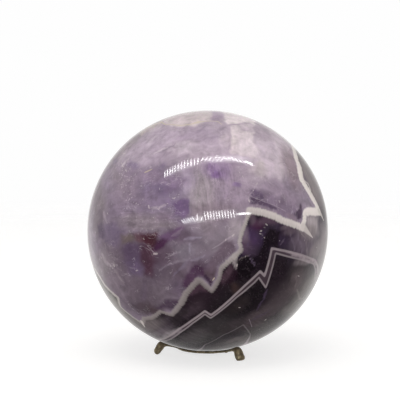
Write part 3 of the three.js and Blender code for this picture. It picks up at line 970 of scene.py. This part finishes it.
# %% Veils
VEIL_MM = 6.0
VEIL_BREAK_MM = 4.0
VEIL_HALF_WIDTH = 0.014
VEIL_STRENGTH = 0.35
veil_noise = add(tree, "TexNoise", {
    "Vector": place, "Scale": 1 / (VEIL_MM * MM), "Detail": 3.0, "Roughness": 0.6, "Distortion": 1.4,
})
from_middle_value = add(tree, "Math", {0: veil_noise, 1: 0.5}, operation="SUBTRACT")
veil_line = add(tree, "MapRange", {
    "Value": add(tree, "Math", {0: from_middle_value}, operation="ABSOLUTE"),
    "From Min": VEIL_HALF_WIDTH, "From Max": 0.0,
})
break_noise = add(tree, "TexNoise", {"Vector": place, "Scale": 1 / (VEIL_BREAK_MM * MM), "Detail": 2.0})
broken = add(tree, "MapRange", {"Value": break_noise, "From Min": 0.5, "From Max": 0.62})
veils = add(tree, "Math", {0: veil_line, 1: broken}, operation="MULTIPLY")
upper_colour = paint(veils, VEIL_STRENGTH, upper_colour, "#cfc4cc")

# %% [markdown]
# The crystals grew away from the bands, so in the dark zones everything runs square to them. Noise
# that changes quickly along a band and slowly away from it gives those fibres. The same kind of
# noise makes the band's edge a fine comb. The real comb is finer still, and is drawn here as coarse
# as it needs to be to show.

# %% Fibres square to the bands
FIBRE_MM = 1.1
FIBRE_LENGTH_MM = 6.0
COMB_LOW = 0.2
COMB_HIGH = 0.8
COMB_MM = 0.55
COMB_LENGTH_MM = 4.0
COMB_DEPTH_MM = 0.35


def fibres(line, width_mm, length_mm, detail, roughness):
    """Noise read at (along / width, above / length), so that it is drawn out square to a line."""
    spot = add(tree, "CombineXYZ", {
        "X": add(tree, "Math", {0: read["along_" + line], 1: width_mm}, operation="DIVIDE"),
        "Y": add(tree, "Math", {0: read["above_" + line], 1: length_mm}, operation="DIVIDE"),
    })
    return add(tree, "TexNoise", {"Vector": spot, "Scale": 1.0, "Detail": detail, "Roughness": roughness})


fibre_light = add(tree, "MapRange", {
    "Value": fibres("outer", FIBRE_MM, FIBRE_LENGTH_MM, 3.0, 0.6),
    "From Min": 0.3, "From Max": 0.75, "To Min": 0.82, "To Max": 1.32,
})
lower_colour = add(tree, "VectorMath", {0: tint["lower_tint"], "Scale": fibre_light}, operation="SCALE")

comb = fibres("upper", COMB_MM, COMB_LENGTH_MM, 2.0, 0.7)
comb_depth = add(tree, "MapRange", {
    "Value": comb, "From Min": COMB_LOW, "From Max": COMB_HIGH,
    "To Min": -COMB_DEPTH_MM, "To Max": COMB_DEPTH_MM,
})
ragged_above = add(tree, "Math", {0: read["above_upper"], 1: comb_depth})

# %% The zone above the upper band, laid over the zone below it
upper_share = add(tree, "MapRange", {
    "Value": ragged_above, "From Min": -EDGE_MM, "From Max": EDGE_MM,
}, interpolation_type="SMOOTHSTEP")
colour = paint(upper_share, 1.0, lower_colour, upper_colour)

# %% The thin lines and the band round the core
OUTER_LINE_HALF_MM = 0.36
INNER_LINE_HALF_MM = 0.26
CORE_BAND_HALF_MM = 0.7
LINE_SOFT_MM = 0.16
GAP_SOFT_MM = 0.1
between_lines = add(tree, "Math", {
    0: add(tree, "MapRange", {
        "Value": read["above_outer"], "From Min": GAP_SOFT_MM, "From Max": -GAP_SOFT_MM}),
    1: add(tree, "MapRange", {
        "Value": read["above_inner"], "From Min": -GAP_SOFT_MM, "From Max": GAP_SOFT_MM}),
}, operation="MULTIPLY")
# Where, how strongly and in which colour
for mask, strength, code in (
    (between_lines, 0.22, "#75636d"),
    (stroke(read["above_outer"], OUTER_LINE_HALF_MM, LINE_SOFT_MM), 0.69, "#9f9397"),
    (stroke(read["above_inner"], INNER_LINE_HALF_MM, LINE_SOFT_MM), 0.66, "#9a8f93"),
    (stroke(read["above_third"], read["third_half_width"]), read["third_whiteness"], "#b9aeb4"),
    (stroke(read["above_core"], CORE_BAND_HALF_MM), 0.8, "#c4bbbb"),
):
    colour = paint(mask, strength, colour, code)

# %% [markdown]
# The upper band is whiter towards its upper side and has the comb's fibres across it. Where it is
# thin and grey, its edges are softer.

# %% The thick upper band
BAND_STRENGTH = 0.9
WHITER_PER_MM = 0.06
FIBRE_CONTRAST = 0.12
GREY_WHITENESS = 0.2
GREY_SOFT_MM = 0.38
WHITE_WHITENESS = 0.7
WHITE_SOFT_MM = 0.34
whiteness = read["upper_whiteness"]
tilted = add(tree, "Math", {0: ragged_above, 1: WHITER_PER_MM, 2: whiteness}, operation="MULTIPLY_ADD")
band_fibres = add(tree, "MapRange", {
    "Value": comb, "From Min": COMB_LOW, "From Max": COMB_HIGH,
    "To Min": 1 - FIBRE_CONTRAST, "To Max": 1 + FIBRE_CONTRAST,
})
fibrous = add(tree, "Math", {0: tilted, 1: band_fibres}, operation="MULTIPLY")
band_colour = paint(fibrous, 1.0, linear("#5a5052"), "#f1e8e4")
band_soft = add(tree, "MapRange", {
    "Value": whiteness, "From Min": GREY_WHITENESS, "From Max": WHITE_WHITENESS,
    "To Min": GREY_SOFT_MM, "To Max": WHITE_SOFT_MM,
})
band_mask = stroke(ragged_above, read["upper_half_width"], band_soft)
colour = paint(band_mask, BAND_STRENGTH, colour, band_colour)

# %% [markdown]
# A thread lies where its stored vector is shorter than one. Specks are made in the same way, and
# noise cut off near its top scatters finer flecks where the stone holds them.

# %% Threads and specks
FLECK_MM = 0.75
FLECK_START = 0.6
FLECK_FULL = 0.72
THREAD_SOFTNESS = 0.35


def inside(name):
    """1 where a stored vector is shorter than one, with a soft edge."""
    way = add(tree, "Attribute", output="Vector", attribute_name=name)
    length = add(tree, "VectorMath", {0: way}, output="Value", operation="LENGTH")
    return add(tree, "MapRange", {
        "Value": length, "From Min": 1 + THREAD_SOFTNESS, "From Max": 1 - THREAD_SOFTNESS,
    }, interpolation_type="SMOOTHSTEP")


fleck_noise = add(tree, "TexNoise", {
    "Vector": place, "Scale": 1 / (FLECK_MM * MM), "Detail": 1.0, "Roughness": 0.5, "Distortion": 0.8,
})
fleck_spots = add(tree, "MapRange", {
    "Value": fleck_noise, "From Min": FLECK_START, "From Max": FLECK_FULL,
})
fleck_mask = add(tree, "Math", {0: fleck_spots, 1: fleck_share}, operation="MULTIPLY")
for mask, strength, code in (
    (fleck_mask, 0.68, "#d8ccd2"),
    (inside("white_thread"), 0.82, "#cfc6c3"),
    (inside("faint_thread"), 0.3, "#b8a9b5"),
    (inside("golden_thread"), 0.55, "#d3c4a6"),
    (inside("speck"), 0.42, "#ddd2d0"),
):
    colour = paint(mask, strength, colour, code)

# %% Gloss: a sharp mirror, with the faint unevenness that hand polishing leaves
QUARTZ_IOR = 1.544
SCATTER_MM = 1.2
POLISH_MM = 6.0
RIPPLE_MM = 0.1
SMOOTHEST = 0.02
ROUGHEST = 0.035
polish = add(tree, "TexNoise", {"Vector": place, "Scale": 1 / (POLISH_MM * MM), "Detail": 2.0})
join(tree, stone_shader, {
    "Base Color": colour,
    "Roughness": add(tree, "MapRange", {
        "Value": polish, "From Min": NOISE_LOW, "From Max": NOISE_HIGH,
        "To Min": SMOOTHEST, "To Max": ROUGHEST,
    }),
    "Normal": add(tree, "Bump", {"Height": polish, "Strength": 0.02, "Distance": RIPPLE_MM * MM}),
    "IOR": QUARTZ_IOR,
    "Subsurface Weight": 0.2,
    "Subsurface Radius": (1.0, 0.7, 1.1),
    "Subsurface Scale": SCATTER_MM * MM,
})
stone.data.materials.append(stone_material)
print("stone material:", len(tree.nodes), "nodes")

# %% [markdown]
# ## The stand
#
# The real stand is one small casting. Its legs could be cut from boxes and rounded, but a cast leg
# has no straight edge anywhere. So a leg is one skin around a path: at each step the path gives the
# leg's outer side, its inner side and its width, and the section between them is an ellipse. The
# path starts inside the ring, runs out under the stone as a thin arm, turns over the knee and goes
# down the shin to the toe.

# %% Stations of a leg
# Outer side (radius, height), inner side (radius, height) and half width, all in millimetres
LEG_STATIONS = np.array([
    (9.6, 1.96, 9.85, 1.36, 0.7), (10.9, 2.66, 11.1, 1.92, 0.78), (12.3, 3.1, 12.5, 2.24, 0.86),
    (13.6, 3.57, 13.6, 2.44, 0.98), (14.9, 4.08, 14.3, 2.36, 1.14), (15.75, 4.2, 14.62, 2.1, 1.24),
    (16.4, 3.98, 14.84, 1.8, 1.36), (16.98, 3.4, 15.1, 1.44, 1.54), (17.58, 2.24, 15.5, 0.98, 1.7),
    (18.06, 1.33, 15.9, 0.52, 1.74), (18, 0.5, 16.4, 0.12, 1.66), (17.5, 0.02, 16.8, 0, 1.1),
    (17.1, 0, 17, 0, 0.02),
])
LEG_ANGLES = {"leg_left": -81.5, "leg_right": 38.5, "leg_back": 158.5}
LEG_STEPS = 120
LEG_SIDES = 48
CAST_GRAIN_MM = 0.9
CAST_RELIEF_MM = 0.05
SEAT_GAP_MM = 0.02


def smooth_rows(rows, steps):
    """A smooth run through rows of values.

    Between two rows the value is the cubic (Catmull-Rom) through them whose slope at each row is
    half the way from the row before it to the row after it.
    """
    padded = np.concatenate([rows[:1], rows, rows[-1:]])
    t = np.linspace(0, len(rows) - 1, steps)
    i = np.minimum(t.astype(int), len(rows) - 2)
    t = (t - i)[:, None]
    before, start, end, after = (padded[i + k] for k in range(4))
    return 0.5 * (2 * start + (end - before) * t + (2 * before - 5 * start + 4 * end - after) * t**2
                  + (3 * start - before - 3 * end + after) * t**3)


def settle(points):
    """Keeps points in mm outside the stone and on or above the floor."""
    centre = STONE_CENTRE / MM
    away = points - centre
    far = np.linalg.norm(away, axis=1, keepdims=True)
    points = centre + away * np.maximum(1, (STONE_RADIUS / MM + SEAT_GAP_MM) / far)
    points[:, 2] = np.maximum(points[:, 2], 0)
    return points


def leg_skin(angle, seed):
    """Points of a leg in mm, as a grid of steps by sides.

    A point is middle + cos(a) (outer - inner) / 2 + sin(a) half width across. Smooth noise lifts
    it a little, as the sand of a mould does. Then it is kept outside the stone and above the floor.
    """
    run = smooth_rows(LEG_STATIONS, LEG_STEPS)
    a = np.linspace(0, 2 * math.pi, LEG_SIDES, endpoint=False)
    middle = (run[:, 0:2] + run[:, 2:4]) / 2
    reach = (run[:, 0:2] - run[:, 2:4]) / 2
    out = np.array([math.sin(math.radians(angle)), -math.cos(math.radians(angle)), 0])
    across = np.array([-out[1], out[0], 0])
    axis = middle[:, :1] * out + middle[:, 1:] * (0, 0, 1)
    radial = (middle[:, :1] + reach[:, :1] * np.cos(a))[..., None] * out
    heights = (middle[:, 1:] + reach[:, 1:] * np.cos(a))[..., None] * (0, 0, 1)
    sideways = (run[:, 4:5] * np.sin(a))[..., None] * across
    points = (radial + sideways + heights).reshape(-1, 3)
    lift = CAST_RELIEF_MM * smooth_noise(points, CAST_GRAIN_MM, seed)[:, None]
    return settle(points + lift * unit(points - np.repeat(axis, LEG_SIDES, axis=0) + 1e-6))


# %% [markdown]
# The ring is swept round the stand's axis: its section is an ellipse that leans with the underside
# of the stone. Both pieces get a closed skin, and the ends of a leg are pinched shut.

# %% Make the ring and the legs
RING_RADIUS_MM = 9.7
RING_HALF_WIDTH_MM = 0.9
RING_HALF_THICKNESS_MM = 0.42
RING_DEPTH_MM = 0.45
RING_STEPS = 240
RING_SIDES = 32


def ring_skin(seed):
    """Points of the ring in mm: an ellipse of section turned by its lean, carried round a circle."""
    turn = np.linspace(0, 2 * math.pi, RING_STEPS, endpoint=False)[:, None]
    a = np.linspace(0, 2 * math.pi, RING_SIDES, endpoint=False)
    hang = STONE_RADIUS / MM + RING_DEPTH_MM
    height = STONE_CENTRE[2] / MM - math.sqrt(hang**2 - RING_RADIUS_MM**2)
    lean = math.asin(RING_RADIUS_MM / hang)
    wide = RING_HALF_WIDTH_MM * np.cos(a)
    thick = RING_HALF_THICKNESS_MM * np.sin(a)
    radial = RING_RADIUS_MM + wide * math.cos(lean) - thick * math.sin(lean)
    heights = height + wide * math.sin(lean) + thick * math.cos(lean)
    points = np.stack([radial * np.cos(turn), radial * np.sin(turn), heights + 0 * turn], -1)
    points = points.reshape(-1, 3)
    points[:, 2] += CAST_RELIEF_MM * smooth_noise(points, CAST_GRAIN_MM, seed)
    return settle(points)


def close_ends(points, rows, columns):
    """Adds a middle point to each end of an open tube, and the triangles that join it to the end."""
    points = np.concatenate([points, [points[:columns].mean(0), points[-columns:].mean(0)]])
    j = np.arange(columns)
    beside = (j + 1) % columns
    last_row = (rows - 1) * columns
    to_first = np.stack([np.full_like(j, rows * columns), j, beside], -1)
    to_last = np.stack([np.full_like(j, rows * columns + 1), last_row + beside, last_row + j], -1)
    return points, grid_faces(rows, columns).tolist() + to_first.tolist() + to_last.tolist()


stand_pieces = {}
for seed, (name, angle) in enumerate(LEG_ANGLES.items(), start=31):
    leg_points, leg_faces = close_ends(leg_skin(angle, seed), LEG_STEPS, LEG_SIDES)
    stand_pieces[name] = make_object("cast_" + name, leg_points * MM, leg_faces)
stand_pieces["stand_ring"] = make_object(
    "cast_stand_ring", ring_skin(34) * MM, grid_faces(RING_STEPS, RING_SIDES, closed_rows=True))
print("stand pieces:", {name: len(piece.data.polygons) for name, piece in stand_pieces.items()})

# %% [markdown]
# ## The stand's finish
#
# Brass is yellow when new. This stand was darkened to look old: a thin brown skin lies in its
# hollows and has worn off where fingers and tables rub it. Bare brass is a metal, with the default
# IOR, and its brown skin is an oxide and hardly one. So the metallic value falls and the roughness
# rises where the skin is thick. The stone's polish shows no image of the legs in the photograph, so
# the legs are hidden from it.

# %% Aged cast brass
PATINA_MM = 1.6
# Moulding sand is about half as coarse as this, and would be too fine to show
SAND_MM = 0.28
SAND_DEPTH_MM = 0.05
SKIN_START = 0.38
SKIN_FULL = 0.62
brass_material, tree, brass_shader = start_material("aged_cast_brass")
place = add(tree, "TexCoord", output="Object")
patina = add(tree, "TexNoise", {
    "Vector": place, "Scale": 1 / (PATINA_MM * MM), "Detail": 5.0, "Roughness": 0.65,
})
skin = add(tree, "MapRange", {
    "Value": patina, "From Min": SKIN_START, "From Max": SKIN_FULL,
}, interpolation_type="SMOOTHSTEP")
sand = add(tree, "TexNoise", {"Vector": place, "Scale": 1 / (SAND_MM * MM), "Detail": 3.0})
join(tree, brass_shader, {
    "Base Color": paint(skin, 1.0, linear("#ab9c7e"), "#6c5f4a"),
    "Roughness": add(tree, "MapRange", {"Value": skin, "To Min": 0.32, "To Max": 0.55}),
    "Normal": add(tree, "Bump", {"Height": sand, "Strength": 0.35, "Distance": SAND_DEPTH_MM * MM}),
    "Metallic": add(tree, "MapRange", {"Value": skin, "To Min": 0.8, "To Max": 0.3}),
})
for piece in stand_pieces.values():
    piece.data.materials.append(brass_material)
    piece.visible_glossy = False

# %% [markdown]
# ## Floor and surroundings
#
# The photograph has a plain white ground with hardly a shadow. A wide round floor of pale paper runs
# into a white world, and fades out towards its rim so that no horizon shows between them. The paper
# glows a little, as a light table does, which keeps the stone's shadow faint.

# %% The floor
FLOOR_RADIUS = 1.2
# The paper starts to fade and is gone at these distances from its middle, in metres
FLOOR_FADE = (0.25, 0.9 * FLOOR_RADIUS)
FLOOR_RINGS = 8
FLOOR_SIDES = 96
FLOOR_GLOW = 0.7


def disc(radius, rings, sides):
    """Points (r cos a, r sin a, 0), with r growing evenly from almost nothing to the radius."""
    r = np.linspace(1e-4, radius, rings)[:, None]
    a = np.linspace(0, 2 * math.pi, sides, endpoint=False)
    return np.stack([r * np.cos(a), r * np.sin(a), 0 * r * a], -1).reshape(-1, 3)


floor_points = disc(FLOOR_RADIUS, FLOOR_RINGS, FLOOR_SIDES)
floor = make_object("floor", floor_points, grid_faces(FLOOR_RINGS, FLOOR_SIDES))
floor_material, tree, floor_shader = start_material("matt_white_paper")
floor_place = add(tree, "TexCoord", output="Object")
from_middle = add(tree, "VectorMath", {0: floor_place}, output="Value", operation="LENGTH")
join(tree, floor_shader, {
    "Base Color": linear("#a9a8a7"),
    "Roughness": 0.9,
    "Emission Color": linear("#ffffff"),
    "Emission Strength": FLOOR_GLOW,
    "Alpha": add(tree, "MapRange", {
        "Value": from_middle, "From Min": FLOOR_FADE[0], "From Max": FLOOR_FADE[1],
        "To Min": 1.0, "To Max": 0.0,
    }, interpolation_type="SMOOTHSTEP"),
})
floor.data.materials.append(floor_material)
floor.visible_glossy = False

# %% [markdown]
# The stone is lit from all round, as in a photographer's light tent. Its polish mirrors that tent
# too: the white cloth at the back brightens its outline, more so at three places where the cloth is
# lit, and the open front, where the camera stands in a dark room, leaves the middle clear. So the
# world has three parts: a white backdrop for the camera, an even light for everything matt, and the
# tent with its open front for what is polished.

# %% The world
TENT_LIGHT = 0.6
TENT_FRONT = 0.06
TENT_BACK = 0.5
TENT_UNDER = 0.1
# Where the tent's front opens along Y, and where the table hides it along Z
OPENING = (-0.1, 0.6)
TABLE_EDGE = (-0.6, -0.2)
# Brightness, and where each lit place starts and is full along X, Y and Z
LIT_CLOTH = [
    (0.35, (-2.0, -1.0), (0.86, 0.98), (-0.3, 0.1)),
    (0.55, (-0.2, 0.5), (0.3, 0.8), (0.0, -0.25)),
    (0.5, (-0.05, -0.5), (0.6, 0.85), (0.1, -0.15)),
]
world = bpy.data.worlds.new("light_tent")
bpy.context.scene.world = world
world.use_nodes = True
tree = world.node_tree
tree.nodes.clear()
direction = add(tree, "TexCoord", output="Generated")
axes = add(tree, "SeparateXYZ", {0: direction}).node
cloth = add(tree, "MapRange", {
    "Value": axes.outputs["Y"], "From Min": OPENING[0], "From Max": OPENING[1],
    "To Min": TENT_FRONT / TENT_BACK, "To Max": 1.0,
}, interpolation_type="SMOOTHSTEP")
above_table = add(tree, "MapRange", {
    "Value": axes.outputs["Z"], "From Min": TABLE_EDGE[0], "From Max": TABLE_EDGE[1],
    "To Min": TENT_UNDER, "To Max": TENT_BACK,
}, interpolation_type="SMOOTHSTEP")
lit_cloth = 0.0
for lit, *reaches in LIT_CLOTH:
    for axis, (start, full) in zip("XYZ", reaches):
        edge = add(tree, "MapRange", {"Value": axes.outputs[axis], "From Min": start, "From Max": full})
        lit = add(tree, "Math", {0: edge, 1: lit}, operation="MULTIPLY")
    lit_cloth = add(tree, "Math", {0: lit_cloth, 1: lit})
tent = add(tree, "Math", {0: above_table, 1: cloth, 2: lit_cloth}, operation="MULTIPLY_ADD")
rays = add(tree, "LightPath").node
for_matt, for_polish, for_camera = (
    add(tree, "Background", {"Color": linear(code), "Strength": strength})
    for code, strength in (("#fffdfb", TENT_LIGHT), ("#fffdfb", tent), ("#fefefe", 1.0))
)
lighting = add(tree, "MixShader", {0: rays.outputs["Is Glossy Ray"], 1: for_matt, 2: for_polish})
either = add(tree, "MixShader", {0: rays.outputs["Is Camera Ray"], 1: lighting, 2: for_camera})
join(tree, tree.nodes.new("ShaderNodeOutputWorld"), {"Surface": either})

# %% [markdown]
# ## Light
#
# A wide soft lamp over the stone and a weaker one in front of it give it form. In the polish,
# though, the photograph shows two arcs of short bright strokes, the mirror image of rows of slats,
# with a faint glow round them. The slats are made as they would be in a studio: bright slats, hung
# where the stone mirrors them to the camera. The glow round them is painted light: strips behind them
# at the cloth's distance that glow by themselves. A slat's four corners are found by following four
# rays from the camera, off the stone, and out again.

# %% Soft lamps
# Name, place, width in metres, power in watts
SOFT_LAMPS = [
    ("lamp_above", (-0.08, -0.30, 0.95), 0.7, 3.0),
    ("lamp_in_front", (-0.25, -1.10, 0.45), 0.8, 2.0),
]
for name, lamp_place, width, power in SOFT_LAMPS:
    lamp_data = bpy.data.lights.new(name, "AREA")
    lamp_data.shape = "DISK"
    lamp_data.size = width
    lamp_data.energy = power
    lamp_data.color = (1.0, 0.985, 0.965)
    lamp = bpy.data.objects.new(name, lamp_data)
    lamp.location = lamp_place
    lamp.rotation_euler = (Vector(STONE_CENTRE) - lamp.location).to_track_quat("-Z", "Y").to_euler()
    lamp.visible_glossy = False
    bpy.context.scene.collection.objects.link(lamp)

# %% Rows of slats, by how they show in the polish
# How many, their width, top and bottom of the first stroke and of the last, all in pixels
SLAT_ROWS = [
    (4, 1.1, (165.2, 170), (164.8, 178.2), (172.8, 165.3), (172.4, 174.6)),
    (4, 1.1, (175.4, 163.9), (175, 172.8), (184.8, 159.6), (184.4, 169)),
    (4, 1.1, (188, 158.2), (187.8, 168), (198.1, 157.5), (197.8, 165.6)),
    (3, 1.2, (204.6, 156.2), (200.4, 162.6), (212.6, 156), (207.2, 162.4)),
    (3, 1.2, (218.4, 154.8), (211.6, 162.2), (225, 155.2), (220, 162.2)),
    (3, 1.3, (224.5, 156.8), (227.4, 160.6), (230.2, 155.8), (235.2, 162.3)),
    (3, 1.3, (234.4, 157.8), (239, 162.6), (241.6, 159.8), (244.9, 163.7)),
    (1, 2.8, (243.8, 160.8), (253.8, 165.4)),
    (6, 0.9, (181, 219.2), (185, 224.4), (191.6, 215.8), (195.2, 222.2)),
    (2, 1.2, (197.4, 213.4), (196.9, 222.3), (202.8, 216.2), (200.2, 221.6)),
    (11, 1.1, (204.3, 210.9), (206, 221.4), (233.2, 208.8), (234.4, 218.2)),
    (1, 2.6, (234.6, 214.2), (252.2, 213.4)),
]
SLAT_BRIGHTNESS = 27
SLAT_DISTANCE = 0.8
# The glow round the slats, painted as strips at the cloth's distance that glow by themselves: brightness,
# and then as above
GLOW_ROWS = [
    (3.2, 1, 8, (163, 178), (203, 161)),
    (4.4, 1, 8, (202, 162.5), (256, 164)),
    (6, 1, 8, (182, 222), (219, 217)),
    (3, 1, 10, (196, 217), (246, 214)),
]
CLOTH_DISTANCE = 1.0


def mirrored(pixels, distance):
    """Where rays through pixels get to, at a distance from where the stone has mirrored them.

    A ray of direction d that meets the stone at a point with normal n leaves it along
    d - 2 (d . n) n.
    """
    normal = seen(pixels)
    touch = STONE_CENTRE + normal * STONE_RADIUS
    d = unit(touch - camera_place)
    return touch + distance * (d - 2 * (d * normal).sum(-1, keepdims=True) * normal)


slat_points = []
slat_brightness = []
strips = [(SLAT_DISTANCE, SLAT_BRIGHTNESS, *row) for row in SLAT_ROWS]
strips += [(CLOTH_DISTANCE, *row) for row in GLOW_ROWS]
for distance, brightness, count, width, *ends in strips:
    first_top, first_bottom, last_top, last_bottom = np.resize(ends, (4, 2))
    t = np.linspace(0, 1, count)[:, None]
    top = first_top + t * (last_top - first_top)
    bottom = first_bottom + t * (last_bottom - first_bottom)
    aside = unit((bottom - top) @ [[0, 1], [-1, 0]]) * width / 2
    corners = np.stack([top - aside, top + aside, bottom + aside, bottom - aside], 1)
    slat_points.append(mirrored(corners.reshape(-1, 2), distance))
    slat_brightness += [brightness] * 4 * count
slat_points = np.concatenate(slat_points)
slat_count = len(slat_points) // 4
slats = make_object("bright_slats", slat_points, np.arange(4 * slat_count).reshape(-1, 4))
give(slats, "across_slat", np.tile([-1.0, 1.0, 1.0, -1.0], slat_count))
give(slats, "down_slat", np.tile([-1.0, -1.0, 1.0, 1.0], slat_count))
give(slats, "brightness", np.array(slat_brightness, float))
print("slats and glows:", slat_count)

# %% The slats' light
# Each slat is brightest in its middle and fades to its edges: (1 - across^2) (1 - down^2)
slat_material, tree, slat_shader = start_material("bright_slat")
glow = add(tree, "Attribute", output="Fac", attribute_name="brightness")
for name in ("across_slat", "down_slat"):
    offset = add(tree, "Attribute", output="Fac", attribute_name=name)
    square = add(tree, "Math", {0: offset, 1: offset}, operation="MULTIPLY")
    fading = add(tree, "Math", {0: 1.0, 1: square}, operation="SUBTRACT")
    glow = add(tree, "Math", {0: glow, 1: fading}, operation="MULTIPLY")
join(tree, slat_shader, {
    "Base Color": linear("#000000"), "Emission Color": linear("#ffffff"), "Emission Strength": glow,
})
slat_material.cycles.emission_sampling = "NONE"
slats.data.materials.append(slat_material)
slats.visible_camera = False
slats.visible_diffuse = False
slats.visible_shadow = False

# %% [markdown]
# ## Join the pieces to the frame
#
# Nothing on this object moves, so every piece rides on the one body. Each modelled piece stands for
# its CAD node, which is hidden.

# %% Ride and replace
STANDS_FOR = {"sphere": (stone, "polished_amethyst")}
for name, piece in stand_pieces.items():
    STANDS_FOR[name] = (piece, "aged_brass")
for node, (piece, slot) in STANDS_FOR.items():
    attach(piece, "root")
    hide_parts(node)
